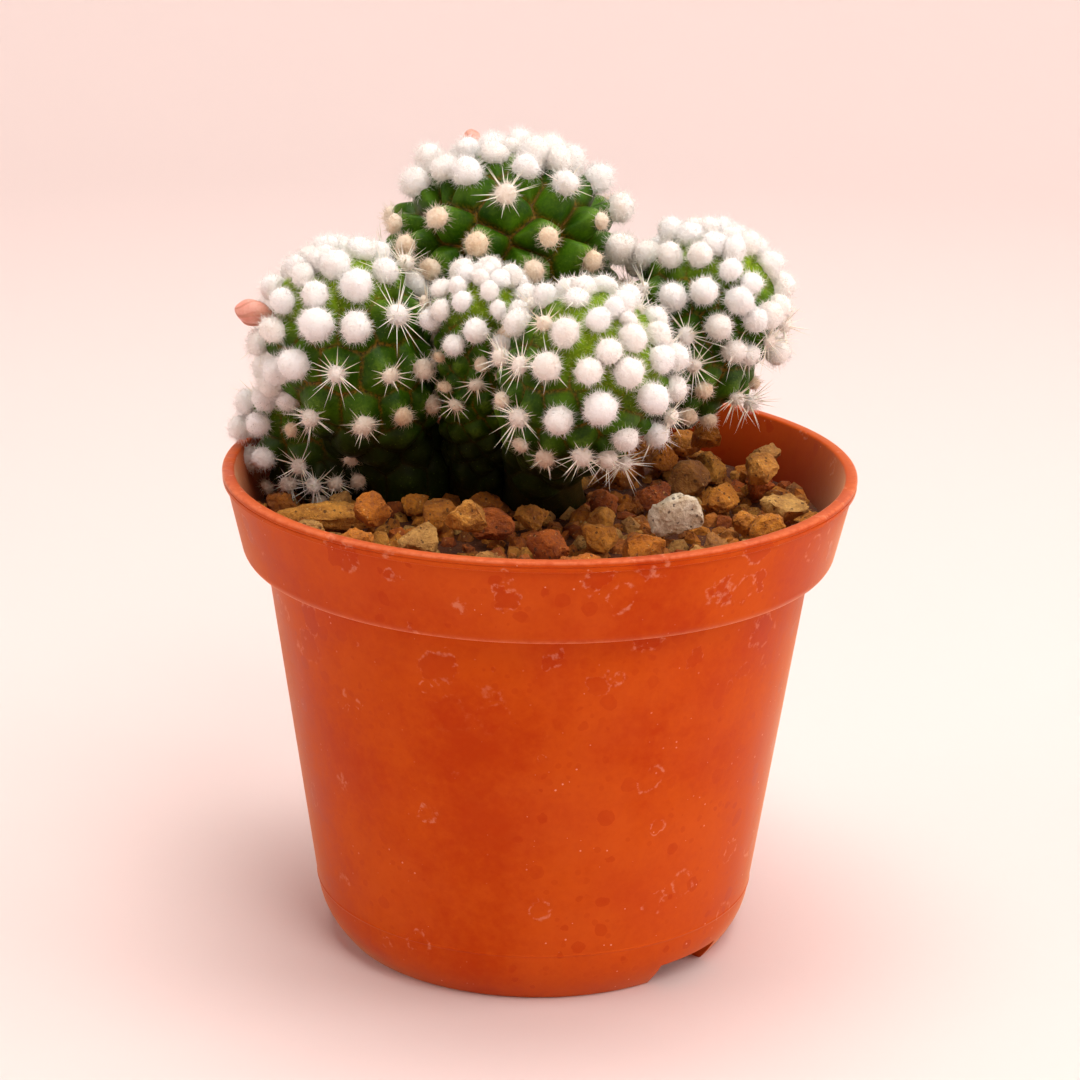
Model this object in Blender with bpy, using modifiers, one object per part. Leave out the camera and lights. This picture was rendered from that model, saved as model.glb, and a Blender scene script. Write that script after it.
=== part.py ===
"""A clustering thimble cactus in a round plastic nursery pot, dressed with gravel.

The pot stands on its foot ring at Z = 0 with its axis on the origin. Lengths are in metres.
Everything above the pot's floor takes its place from the pot's inside, so the mix, the gravel
and the plant follow when a size of the pot changes.
"""

import math
import random

import bmesh
import bpy
from mathutils import Matrix, Vector, noise

GAP = 0.0003  # left between pieces that rest on or in each other
MERGE = 0.00001  # merge distance of the turned shapes
FACETS = 48  # round the pot, the mix and the gravel bed

# Pot
POT_HEIGHT = 0.070
POT_WALL = 0.0012
LIP_RADIUS = 0.045
LIP_HEIGHT = 0.0014
LIP_OVERHANG = 0.0005  # past the collar, outwards
LIP_ROUND = 0.0004
COLLAR_HEIGHT = 0.0124  # from the rim down to the collar's lower edge
COLLAR_NARROWING = 0.0024  # of the collar's radius, from the lip to its lower edge
SHOULDER = 0.0031  # how far the wall stands inside the collar's lower edge
WALL_FOOT_RADIUS = 0.0313  # where the straight wall ends and the foot turns in
WALL_FOOT_HEIGHT = 0.0042
FOOT_RADIUS = 0.0280
FOOT_WALL = 0.0018
FLOOR_RISE = 0.0039  # the floor's underside above the table
NOTCH_WIDTH = 0.0118
NOTCH_HEIGHT = 0.0036
NOTCH_ANGLES = (-42, 138)  # degrees from +X
DRAIN_RADIUS = 0.0025
DRAIN_CIRCLE = 0.015
DRAIN_COUNT = 6
DRAIN_FACETS = 12

# Filling
GRAVEL_BELOW_RIM = 0.0085  # the bed's level top under the rim
GRAVEL_DEPTH = 0.010
ROOT_DEPTH = 0.006  # how far a stem's foot goes into the mix

# Stones on the bed
STONE_COUNT = 48
STONE_RADII = (0.0030, 0.0046)
STONE_FLATNESS = 0.75  # height over breadth
STONE_SLIMNESS = (0.7, 0.95)  # breadth over length
STONE_FLATS = 7  # flats knocked off each stone
STONE_FLAT_DEPTHS = (0.62, 0.85)  # of a flat from the middle, in radii
STONE_ROUGHNESS = 0.06
STONE_GRAIN = 2.2  # of the roughness, in ripples to a radius
STONE_TRIES = 90  # free places tried, of which the lowest is taken
STONE_SEED = 7
NOISE_SPAN = 50.0  # over which each stone takes its own stretch of noise
LONG_STONE_LENGTH = 0.0195
PALE_STONE_LENGTH = 0.0096

# Plant, for these radii inside the pot: it is scaled to fit the real ones
MOUTH_RADIUS = 0.0433  # at the rim
MIX_RADIUS = 0.0367  # at the mix's top
TUBERCLE_PITCH = 0.0070
ROW_CLOSENESS = 0.6  # the rows' pitch over the pitch within a row
TUBERCLE_HEIGHT = 0.0015
BUD_LENGTH = 0.0062
BUD_RADIUS = 0.0021
BUD_SEAT = 0.0014  # how far a bud sits in its stem
BUD_FACETS = 12
BUD_RINGS = 6
BUD_TAPER = 0.62  # under 1 puts the widest part nearer the seat
BUD_FULLNESS = 0.8
STEM_GAP = 0.0006  # round a stem, in the mix, in the gravel bed and in the stems beside it
STEM_STIFFNESS = 0.45  # share of its height over which a stem keeps its direction at each end
BELLY_FULLNESS = 0.7  # under 1 rounds a head's lower half
LINE_STEPS = 40
BALL_PITCH = 0.0018  # between the balls that stand for a stem where pieces are kept apart
ROOM_FACETS = 16

# A stem goes from its foot's (x, y) in the mix to its head, where it is widest, at (x, y, height
# over the rim). Its cap rises over the head along the lean, and its belly narrows to the neck
# below it. right_stem sprouts from the back stem's side, so its foot has a height over the rim.
# A stem is cut back where it presses on one named before it.
STEMS = {
    "back_stem": {
        "foot": (-0.0040, 0.0240),
        "head": (-0.0057, 0.0220, 0.0275),
        "neck": 0.0105,
        "radius": 0.0170,
        "cap": 0.0126,
        "belly": 0.0260,
        "lean": (-0.02, 0.02, 1.0),
    },
    "left_stem": {
        "foot": (-0.0175, 0.0150),
        "head": (-0.0274, 0.0030, 0.0170),
        "neck": 0.0072,
        "radius": 0.0116,
        "cap": 0.0122,
        "belly": 0.0150,
        "lean": (-0.30, -0.10, 0.9),
    },
    "middle_stem": {
        "foot": (-0.0085, 0.0145),
        "head": (-0.0083, -0.0030, 0.0215),
        "neck": 0.0056,
        "radius": 0.0066,
        "cap": 0.0066,
        "belly": 0.0200,
        "lean": (0.02, -0.20, 1.0),
    },
    "front_stem": {
        "foot": (0.0010, 0.0140),
        "head": (0.0061, -0.0130, 0.0166),
        "neck": 0.0066,
        "radius": 0.0113,
        "cap": 0.0113,
        "belly": 0.0130,
        "lean": (0.38, -0.50, 0.8),
    },
    "low_left_stem": {
        "foot": (-0.0262, 0.0130),
        "head": (-0.0330, 0.0090, 0.0045),
        "neck": 0.0050,
        "radius": 0.0090,
        "cap": 0.0080,
        "belly": 0.0120,
        "lean": (-0.28, -0.10, 0.9),
    },
    "right_stem": {
        "foot": (0.0010, 0.0205, 0.0060),
        "sprout": (0.90, -0.25, -0.10),
        "head": (0.0232, 0.0140, 0.0190),
        "neck": 0.0060,
        "radius": 0.0108,
        "cap": 0.0112,
        "belly": 0.0160,
        "lean": (0.28, 0.05, 0.95),
    },
}

# Each bud stands out of a stem's head along a direction
BUDS = {
    "left_bud": {"stem": "left_stem", "out": (-0.97, -0.05, 0.26)},
    "top_bud": {"stem": "back_stem", "out": (-0.27, 0.55, 0.80)},
}

# The two stones that stand out lie at chosen places, and the rest find their own
CHOSEN_STONES = {
    "long_stone": {
        "length": LONG_STONE_LENGTH,
        "slimness": 0.36,
        "flatness": 0.75,
        "at": (-0.0290, -0.0095),
        "turn": 0,
        "finish": "ochre_stone",
    },
    "pale_stone": {
        "length": PALE_STONE_LENGTH,
        "slimness": 0.90,
        "flatness": 1.0,
        "at": (0.0192, -0.0115),
        "turn": 20,
        "finish": "pale_stone",
    },
}

COLOURS = {
    "terracotta": ((0.62, 0.085, 0.012, 1), 0.48),
    "peat": ((0.045, 0.026, 0.014, 1), 0.95),
    "ochre_stone": ((0.36, 0.17, 0.055, 1), 0.85),
    "pale_stone": ((0.55, 0.43, 0.28, 1), 0.85),
    "cactus_green": ((0.045, 0.13, 0.02, 1), 0.42),
    "bud_pink": ((0.70, 0.25, 0.20, 1), 0.55),
}


def clear_scene():
    for thing in list(bpy.data.objects):
        bpy.data.objects.remove(thing, do_unlink=True)


def collection(name):
    made = bpy.data.collections.new(name)
    bpy.context.scene.collection.children.link(made)
    return made


def material(name):
    colour, roughness = COLOURS[name]
    made = bpy.data.materials.get(name) or bpy.data.materials.new(name)
    made.use_nodes = True
    shader = made.node_tree.nodes["Principled BSDF"]
    shader.inputs["Base Color"].default_value = colour
    shader.inputs["Roughness"].default_value = roughness
    shader.inputs["Metallic"].default_value = 0.0
    return made


def add_object(name, mesh, home, finish=None):
    thing = bpy.data.objects.new(name, mesh)
    home.objects.link(thing)
    if finish:
        mesh.materials.append(material(finish))
    return thing


def add_cutter(name, mesh, home):
    cutter = add_object(name, mesh, home)
    cutter.hide_render = True
    cutter.display_type = "WIRE"
    return cutter


def cut(thing, cutter):
    boolean = thing.modifiers.new("cut " + cutter.name, "BOOLEAN")
    boolean.operation = "DIFFERENCE"
    boolean.solver = "EXACT"
    boolean.object = cutter


def profile_mesh(name, points):
    """An open chain of (radius, height) points in the XZ plane."""
    mesh = bpy.data.meshes.new(name)
    chain = [(index, index + 1) for index in range(len(points) - 1)]
    mesh.from_pydata([(radius, 0, height) for radius, height in points], chain, [])
    return mesh


def turn(thing, facets):
    screw = thing.modifiers.new("turned", "SCREW")
    screw.angle = math.tau
    screw.steps = facets
    screw.render_steps = facets
    screw.use_merge_vertices = True
    screw.merge_threshold = MERGE
    screw.use_smooth_shade = True


def rounded(centre, radius, start, end, count=3):
    """Points of an arc between two angles in degrees."""
    angles = [math.radians(start + (end - start) * step / count) for step in range(count + 1)]
    return [(centre[0] + radius * math.cos(a), centre[1] + radius * math.sin(a)) for a in angles]


# Pot ------------------------------------------------------------------------------------------

COLLAR_RADIUS = LIP_RADIUS - LIP_OVERHANG
COLLAR_FOOT_RADIUS = COLLAR_RADIUS - COLLAR_NARROWING
COLLAR_FOOT_HEIGHT = POT_HEIGHT - COLLAR_HEIGHT
WALL_TOP_RADIUS = COLLAR_FOOT_RADIUS - SHOULDER
SHELF_HEIGHT = COLLAR_FOOT_HEIGHT + POT_WALL  # top of the shoulder, inside
FLOOR_TOP = FLOOR_RISE + POT_WALL
INNER_FOOT_RADIUS = WALL_FOOT_RADIUS - POT_WALL

# The pot's inside from the floor's edge up to the rim, as (radius, height)
INSIDE = [
    (INNER_FOOT_RADIUS - POT_WALL, FLOOR_TOP),
    (INNER_FOOT_RADIUS, FLOOR_TOP + POT_WALL),
    (WALL_TOP_RADIUS - POT_WALL, SHELF_HEIGHT),
    (COLLAR_FOOT_RADIUS - POT_WALL, SHELF_HEIGHT),
    (COLLAR_RADIUS - POT_WALL, POT_HEIGHT),
]


def inside_radius(height):
    """The pot's inner radius at a height, the narrow one on the shelf's own level."""
    for (low_radius, low), (high_radius, high) in zip(INSIDE, INSIDE[1:]):
        if low <= height <= high and high > low:
            return low_radius + (high_radius - low_radius) * (height - low) / (high - low)
    return INSIDE[0][0] if height < FLOOR_TOP else INSIDE[-1][0]


def make_pot(home, cutters):
    lip_corner = (LIP_RADIUS - LIP_ROUND, POT_HEIGHT - LIP_ROUND)
    outline = [(0, FLOOR_TOP)] + INSIDE
    outline += rounded(lip_corner, LIP_ROUND, 90, 0)
    outline += [
        (LIP_RADIUS, POT_HEIGHT - LIP_HEIGHT),
        (COLLAR_RADIUS, POT_HEIGHT - LIP_HEIGHT),
        (COLLAR_FOOT_RADIUS, COLLAR_FOOT_HEIGHT),
        (WALL_TOP_RADIUS, COLLAR_FOOT_HEIGHT),
        (WALL_FOOT_RADIUS, WALL_FOOT_HEIGHT),
        (FOOT_RADIUS, 0),
        (FOOT_RADIUS - FOOT_WALL, 0),
        (FOOT_RADIUS - FOOT_WALL, FLOOR_RISE),
        (0, FLOOR_RISE),
    ]
    pot = add_object("pot", profile_mesh("pot", outline), home, "terracotta")
    turn(pot, FACETS)
    for number, degrees in enumerate(NOTCH_ANGLES, 1):
        cut(pot, notch_cutter(f"foot_notch_{number}", math.radians(degrees), cutters))
    for number in range(DRAIN_COUNT):
        angle = math.tau * number / DRAIN_COUNT
        cut(pot, drain_cutter(f"drain_hole_{number + 1}", angle, cutters))


def notch_cutter(name, angle, cutters):
    """A block through the foot ring, from inside the ring to outside the wall."""
    inner = FOOT_RADIUS - 2 * FOOT_WALL
    outer = WALL_FOOT_RADIUS + FOOT_WALL
    below = FOOT_WALL
    mesh = bpy.data.meshes.new(name)
    bm = bmesh.new()
    size = Matrix.Diagonal((outer - inner, NOTCH_WIDTH, NOTCH_HEIGHT + below, 1))
    place = Matrix.Translation(((inner + outer) / 2, 0, (NOTCH_HEIGHT - below) / 2))
    bmesh.ops.create_cube(bm, size=1, matrix=place @ size)
    bm.to_mesh(mesh)
    bm.free()
    cutter = add_cutter(name, mesh, cutters)
    cutter.rotation_euler.z = angle
    return cutter


def drain_cutter(name, angle, cutters):
    mesh = bpy.data.meshes.new(name)
    bm = bmesh.new()
    bmesh.ops.create_cone(
        bm,
        cap_ends=True,
        segments=DRAIN_FACETS,
        radius1=DRAIN_RADIUS,
        radius2=DRAIN_RADIUS,
        depth=3 * POT_WALL,
    )
    bm.to_mesh(mesh)
    bm.free()
    cutter = add_cutter(name, mesh, cutters)
    cutter.location = (
        DRAIN_CIRCLE * math.cos(angle),
        DRAIN_CIRCLE * math.sin(angle),
        FLOOR_RISE + POT_WALL / 2,
    )
    return cutter


# Filling --------------------------------------------------------------------------------------

BED_TOP = POT_HEIGHT - GRAVEL_BELOW_RIM
MIX_TOP = BED_TOP - GRAVEL_DEPTH


def filling_outline(bottom, top):
    """What fills the pot between two heights, from the axis at the top to the axis at the bottom."""
    corners = [(radius - GAP, height + GAP) for radius, height in INSIDE if bottom < height < top - GAP]
    rim = (inside_radius(top) - GAP, top)
    foot = (inside_radius(bottom) - GAP, bottom)
    return [(0, top), rim] + corners[::-1] + [foot, (0, bottom)]


def make_filling(name, bottom, top, finish, stem_cutters, home):
    filling = add_object(name, profile_mesh(name, filling_outline(bottom, top)), home, finish)
    turn(filling, FACETS)
    for cutter in stem_cutters:
        cut(filling, cutter)


# Plant ----------------------------------------------------------------------------------------

MOUTH_SCALE = INSIDE[-1][0] / MOUTH_RADIUS
MIX_SCALE = inside_radius(MIX_TOP) / MIX_RADIUS
PLANT_SCALE = min(MOUTH_SCALE, MIX_SCALE)
ROOM_GAP = STEM_GAP * PLANT_SCALE


def smooth_step(value):
    value = min(max(value, 0), 1)
    return value * value * (3 - 2 * value)


class Stem:
    """The line that a stem grows along, and its girth at each point of that line."""

    def __init__(self, name):
        spec = STEMS[name]
        self.radius = spec["radius"] * PLANT_SCALE
        self.neck = spec["neck"] * PLANT_SCALE
        self.cap = spec["cap"] * PLANT_SCALE
        self.belly = spec["belly"] * PLANT_SCALE
        self.lean = Vector(spec["lean"]).normalized()
        x, y, over_rim = spec["head"]
        self.head = Vector((x, y, over_rim)) * PLANT_SCALE + Vector((0, 0, POT_HEIGHT))
        in_mix = (MIX_TOP - ROOT_DEPTH - POT_HEIGHT) / PLANT_SCALE
        self.foot = Vector((*spec["foot"], in_mix)[:3]) * PLANT_SCALE + Vector((0, 0, POT_HEIGHT))
        sprout = Vector(spec.get("sprout", (0, 0, 1))).normalized()
        reach = (self.head - self.foot).length * STEM_STIFFNESS
        leave, arrive = sprout * reach, self.lean * reach
        self.controls = (self.foot, self.foot + leave, self.head - arrive, self.head)
        line = [self.point(step / LINE_STEPS) for step in range(LINE_STEPS + 1)]
        self.trunk = sum((b - a).length for a, b in zip(line, line[1:]))

    def point(self, t):
        a, b, c, d = self.controls
        s = 1 - t
        return a * s**3 + b * 3 * s * s * t + c * 3 * s * t * t + d * t**3

    def way(self, t):
        """The direction of growth at t."""
        a, b, c, d = self.controls
        s = 1 - t
        return ((b - a) * s * s + (c - b) * 2 * s * t + (d - c) * t * t).normalized()

    def girth(self, t):
        """The stem's radius at t, from its neck to its head."""
        down = min((1 - t) * self.trunk / self.belly, 1)
        return self.neck + (self.radius - self.neck) * (1 - down**2) ** BELLY_FULLNESS

    def rings(self, pitch):
        """Centre, direction, radius and tilt of the surface of each ring, from foot to tip."""
        trunk_rings = max(3, round(self.trunk / pitch))
        cap_rings = max(3, round(math.pi / 2 * self.radius / pitch))
        for ring in range(trunk_rings):
            t = ring / trunk_rings
            yield self.point(t), self.way(t), self.girth(t), 0.0
        for ring in range(cap_rings):
            tilt = math.pi / 2 * ring / cap_rings
            rise = self.lean * self.cap * math.sin(tilt)
            yield self.head + rise, self.lean, self.radius * math.cos(tilt), tilt

    def tip(self):
        return self.head + self.lean * self.cap


def stem_mesh(name, stem, around, pitch, bump, grow=0.0):
    """A ball's rings moved onto the stem's rings. Every other vertex of a ring is a tubercle's
    tip and the ones between are the hollows, turned by one vertex from each ring to the next."""
    rings = list(stem.rings(pitch))
    bm = bmesh.new()
    bmesh.ops.create_uvsphere(bm, u_segments=around, v_segments=len(rings) + 1, radius=1)
    for vertex in bm.verts:
        polar = math.acos(min(max(-vertex.co.z, -1), 1))
        row = round(polar / math.pi * (len(rings) + 1))
        if row == 0:
            vertex.co = stem.foot - stem.way(0) * grow
            continue
        if row > len(rings):
            vertex.co = stem.tip() + stem.lean * (grow - bump / 2)
            continue
        centre, way, radius, tilt = rings[row - 1]
        turned = math.atan2(vertex.co.y, vertex.co.x) / math.tau
        column = math.floor(turned * around + 0.25) % around
        side = (Vector((1, 0, 0)) - way * way.x).normalized()
        front = way.cross(side)
        angle = math.tau * column / around
        out = side * math.cos(angle) + front * math.sin(angle)
        is_hollow = (row + column) % 2
        above_bed = smooth_step((centre.z - BED_TOP) / TUBERCLE_PITCH)
        depth = bump * is_hollow * min(1, radius / stem.neck) * above_bed
        normal = out * math.cos(tilt) + way * math.sin(tilt)
        sunk = way * grow if row == 1 else Vector()
        vertex.co = centre + out * radius + normal * (grow - depth) - sunk
    bmesh.ops.triangulate(bm, faces=bm.faces, quad_method="SHORT_EDGE")
    mesh = bpy.data.meshes.new(name)
    bm.to_mesh(mesh)
    bm.free()
    return mesh


def balls_in(stem):
    """Balls that fill out a stem, as (centre, radius)."""
    return [(centre, radius) for centre, way, radius, tilt in stem.rings(BALL_PITCH)]


def pressed_pairs(stems):
    """Each stem, with one named before it that it would run into."""
    names = list(stems)
    for later in range(1, len(names)):
        for earlier in range(later):
            meet = any(
                (here - there).length < girth + other_girth + ROOM_GAP
                for here, girth in balls_in(stems[names[later]])
                for there, other_girth in balls_in(stems[names[earlier]])
            )
            if meet:
                yield names[later], names[earlier]


def make_stems(home, cutters):
    """The stems, and for each the cutter that makes room for it in what it touches."""
    stems = {name: Stem(name) for name in STEMS}
    pitch = TUBERCLE_PITCH * PLANT_SCALE
    row_pitch = pitch * ROW_CLOSENESS
    rooms = {}
    for name, stem in stems.items():
        around = 2 * max(5, round(math.tau * stem.radius / pitch))
        mesh = stem_mesh(name, stem, around, row_pitch, TUBERCLE_HEIGHT * PLANT_SCALE)
        mesh.shade_smooth()
        add_object(name, mesh, home, "cactus_green")
        room = stem_mesh(name + "_room", stem, ROOM_FACETS, row_pitch, 0.0, ROOM_GAP)
        rooms[name] = add_cutter(name + "_room", room, cutters)
    for pressed, first in pressed_pairs(stems):
        cut(bpy.data.objects[pressed], rooms[first])
    return stems, list(rooms.values())


def bud_outline(grow=0.0):
    """A blunt cone with a round lower end, from its tip down to its seat."""
    length = BUD_LENGTH * PLANT_SCALE
    widest = BUD_RADIUS * PLANT_SCALE
    outline = [(0, length + grow)]
    for step in range(1, BUD_RINGS):
        left = 1 - step / BUD_RINGS
        swell = math.sin(math.pi * left**BUD_TAPER) ** BUD_FULLNESS
        outline.append((widest * swell + grow, length * left))
    return outline + [(0, -grow)]


def make_bud(name, stems, home, cutters):
    """A bud that stands in a socket of its stem's head."""
    spec = BUDS[name]
    stem = stems[spec["stem"]]
    out = Vector(spec["out"]).normalized()
    rise = stem.lean * out.dot(stem.lean)
    normal = ((out - rise) / stem.radius + rise / stem.cap).normalized()
    seat = stem.head + (out - rise) * stem.radius + rise * stem.cap - normal * BUD_SEAT * PLANT_SCALE
    upright = normal.to_track_quat("Z", "Y")
    bud = add_object(name, profile_mesh(name, bud_outline()), home, "bud_pink")
    socket = add_cutter(name + "_socket", profile_mesh(name + "_socket", bud_outline(GAP)), cutters)
    for thing in (bud, socket):
        turn(thing, BUD_FACETS)
        thing.location = seat
        thing.rotation_euler = upright.to_euler()
    cut(bpy.data.objects[spec["stem"]], socket)


# Stones ---------------------------------------------------------------------------------------


def stone_mesh(name, half_sizes, rng):
    """A ball with flats knocked off it and a rough skin."""
    bm = bmesh.new()
    bmesh.ops.create_icosphere(bm, subdivisions=2, radius=1)
    stretch = Vector([rng.uniform(0, NOISE_SPAN) for axis in range(3)])
    for flat in range(STONE_FLATS):
        way = Vector([rng.gauss(0, 1) for axis in range(3)]).normalized()
        reach = rng.uniform(*STONE_FLAT_DEPTHS)
        for vertex in bm.verts:
            over = vertex.co.dot(way) - reach
            if over > 0:
                vertex.co -= way * over
    for vertex in bm.verts:
        ripple = noise.noise(vertex.co * STONE_GRAIN + stretch)
        vertex.co *= 1 - STONE_ROUGHNESS * (1 - ripple)
        vertex.co = Vector([c * half for c, half in zip(vertex.co, half_sizes)])
    mesh = bpy.data.meshes.new(name)
    bm.to_mesh(mesh)
    bm.free()
    return mesh


def rest_height(x, y, radius, placed):
    """How high a stone's centre comes to rest on the bed and on the stones already there."""
    height = BED_TOP + GAP + radius * STONE_FLATNESS
    for other_x, other_y, other_height, other_radius in placed:
        reach = radius + other_radius + GAP
        apart = math.hypot(x - other_x, y - other_y)
        if apart < reach:
            height = max(height, other_height + STONE_FLATNESS * math.sqrt(reach**2 - apart**2))
    return height


def is_free(x, y, height, radius, balls):
    low = height - radius * STONE_FLATNESS
    if math.hypot(x, y) + radius + GAP > inside_radius(low):
        return False
    here = Vector((x, y, height))
    return all((here - centre).length > radius + ball + GAP for centre, ball in balls)


def place_chosen(name, rng, placed, home):
    """Lays a stone at its chosen place, and notes a row of balls that covers it."""
    spec = CHOSEN_STONES[name]
    long_half = spec["length"] / 2
    broad_half = long_half * spec["slimness"]
    half_sizes = (long_half, broad_half, broad_half * spec["flatness"])
    middle = Vector(spec["at"]) * PLANT_SCALE
    height = BED_TOP + GAP + half_sizes[2]
    stone = add_object(name, stone_mesh(name, half_sizes, rng), home, spec["finish"])
    stone.location = (middle.x, middle.y, height)
    stone.rotation_euler.z = math.radians(spec["turn"])
    along = Vector((math.cos(stone.rotation_euler.z), math.sin(stone.rotation_euler.z)))
    balls = math.ceil(1 / spec["slimness"]) + 1
    for ball in range(balls):
        place = middle + along * (long_half - broad_half) * (2 * ball / (balls - 1) - 1)
        placed.append((place.x, place.y, height, half_sizes[2] / STONE_FLATNESS))


def make_stones(stems, home):
    rng = random.Random(STONE_SEED)
    balls = [ball for stem in stems.values() for ball in balls_in(stem)]
    placed = []
    for name in CHOSEN_STONES:
        place_chosen(name, rng, placed, home)
    for number in range(1, STONE_COUNT - len(CHOSEN_STONES) + 1):
        radius = rng.uniform(*STONE_RADII)
        spots = []
        while len(spots) < STONE_TRIES:
            away = inside_radius(POT_HEIGHT) * math.sqrt(rng.random())
            angle = rng.uniform(0, math.tau)
            x, y = away * math.cos(angle), away * math.sin(angle)
            height = rest_height(x, y, radius, placed)
            if is_free(x, y, height, radius, balls):
                spots.append((height, x, y))
        height, x, y = min(spots)
        placed.append((x, y, height, radius))
        name = f"stone_{number:02d}"
        half_sizes = (radius, radius * rng.uniform(*STONE_SLIMNESS), radius * STONE_FLATNESS)
        stone = add_object(name, stone_mesh(name, half_sizes, rng), home, "ochre_stone")
        stone.location = (x, y, height)
        stone.rotation_euler.z = rng.uniform(0, math.tau)


def main():
    clear_scene()
    home = collection("potted_thimble_cactus")
    cutters = collection("cutters")
    make_pot(home, cutters)
    stems, stem_cutters = make_stems(home, cutters)
    make_filling("potting_mix", FLOOR_TOP + GAP, MIX_TOP, "peat", stem_cutters, home)
    make_filling("gravel_bed", MIX_TOP + GAP, BED_TOP, "ochre_stone", stem_cutters, home)
    for name in BUDS:
        make_bud(name, stems, home, cutters)
    make_stones(stems, home)


main()
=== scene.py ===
# A potted thimble cactus: a clump of woolly heads in a round plastic nursery pot dressed with gravel.
# Everything is in metres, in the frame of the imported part: Z up, the pot's axis on the origin.
import math
import random

import bmesh
import bpy
import numpy as np
from mathutils import Matrix, Quaternion, Vector, kdtree, noise


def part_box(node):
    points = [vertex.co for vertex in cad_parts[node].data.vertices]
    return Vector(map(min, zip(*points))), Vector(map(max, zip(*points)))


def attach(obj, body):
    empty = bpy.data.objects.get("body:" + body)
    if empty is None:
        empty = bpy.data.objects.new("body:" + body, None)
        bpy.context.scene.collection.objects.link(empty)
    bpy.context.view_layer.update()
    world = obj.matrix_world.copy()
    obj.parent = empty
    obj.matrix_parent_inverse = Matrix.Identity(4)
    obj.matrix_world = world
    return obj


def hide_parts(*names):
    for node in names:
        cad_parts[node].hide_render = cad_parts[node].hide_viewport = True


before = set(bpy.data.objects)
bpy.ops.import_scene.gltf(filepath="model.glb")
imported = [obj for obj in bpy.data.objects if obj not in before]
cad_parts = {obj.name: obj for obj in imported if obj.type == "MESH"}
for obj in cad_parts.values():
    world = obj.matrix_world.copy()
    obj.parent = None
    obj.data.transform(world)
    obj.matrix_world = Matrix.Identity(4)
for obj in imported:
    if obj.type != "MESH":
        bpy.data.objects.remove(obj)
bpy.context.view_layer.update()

mm = 0.001
scene = bpy.context.scene
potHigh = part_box("pot")[1]
rim = potHigh.z
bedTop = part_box("gravel_bed")[1].z
bodyName = "root"


room = {
    "floorColour": (0.83, 0.705, 0.680, 1),
    "wallAway": 0.55,
    "wallBend": 0.38,
    "wallHeight": 0.52,
    "wallFacets": 96,
    "worldColour": (1.0, 0.925, 0.885, 1),
    "worldStrength": 0.07,
}
lamps = {
    "overhead": {"at": (0.05, 0.10, 0.80), "aim": (0, 0, 0.05), "size": 0.80, "power": 4.1,
                 "colour": (1, 0.95, 0.91)},
    "rightWindow": {"at": (0.80, -0.15, 0.40), "aim": (0, 0, 0.05), "size": 0.60, "power": 3.2,
                    "colour": (1, 0.925, 0.91)},
    "leftFill": {"at": (-0.80, -0.20, 0.45), "aim": (0, 0, 0.05), "size": 0.50, "power": 1.3,
                 "colour": (1, 0.91, 0.86)},
    "frontTop": {"at": (0.25, -0.60, 0.85), "aim": (0, 0, 0.08), "size": 0.45, "power": 3.8,
                 "colour": (1, 0.95, 0.91)},
    "wallWash": {"at": (0.0, 0.10, 0.90), "aim": (0, 0.80, 0.20), "size": 0.60, "power": 3.3,
                 "colour": (1, 0.90, 0.84)},
}
lens = {
    "length": 106.56,
    "pitch": 0.3117,  # down from level
    "roll": 0.0167,
    "distance": 0.4545,
    "aim": (0.0, 0.0, 1.5494 * 45 * mm),
    "aside": -0.0004,
    "above": 0.0233,
}


def makeCamera():
    pitch, roll = lens["pitch"], lens["roll"]
    ahead = Vector((0, math.cos(pitch), -math.sin(pitch)))
    up = Vector((0, math.sin(pitch), math.cos(pitch)))
    right = Vector((1, 0, 0))
    place = Vector(lens["aim"]) - (ahead + right * lens["aside"] + up * lens["above"]) * lens["distance"]
    rolledRight = right * math.cos(roll) + up * math.sin(roll)
    rolledUp = up * math.cos(roll) - right * math.sin(roll)
    turned = Matrix((rolledRight, rolledUp, -ahead)).transposed()
    data = bpy.data.cameras.new("camera")
    data.lens = lens["length"]
    data.sensor_width = 36
    data.clip_start, data.clip_end = 0.01, 10
    camera = bpy.data.objects.new("camera", data)
    camera.matrix_world = Matrix.Translation(place) @ turned.to_4x4()
    scene.collection.objects.link(camera)
    scene.camera = camera


def makeLamps():
    for name, lamp in lamps.items():
        data = bpy.data.lights.new(name, "AREA")
        data.shape = "DISK"
        data.size = lamp["size"]
        data.energy = lamp["power"]
        data.color = lamp["colour"]
        thing = bpy.data.objects.new(name, data)
        place = Vector(lamp["at"])
        turned = (place - Vector(lamp["aim"])).to_track_quat("Z", "Y")
        thing.matrix_world = Matrix.Translation(place) @ turned.to_matrix().to_4x4()
        scene.collection.objects.link(thing)
    world = bpy.data.worlds.new("room")
    world.use_nodes = True
    sky = world.node_tree.nodes["Background"]
    sky.inputs["Color"].default_value = room["worldColour"]
    sky.inputs["Strength"].default_value = room["worldStrength"]
    scene.world = world


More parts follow.
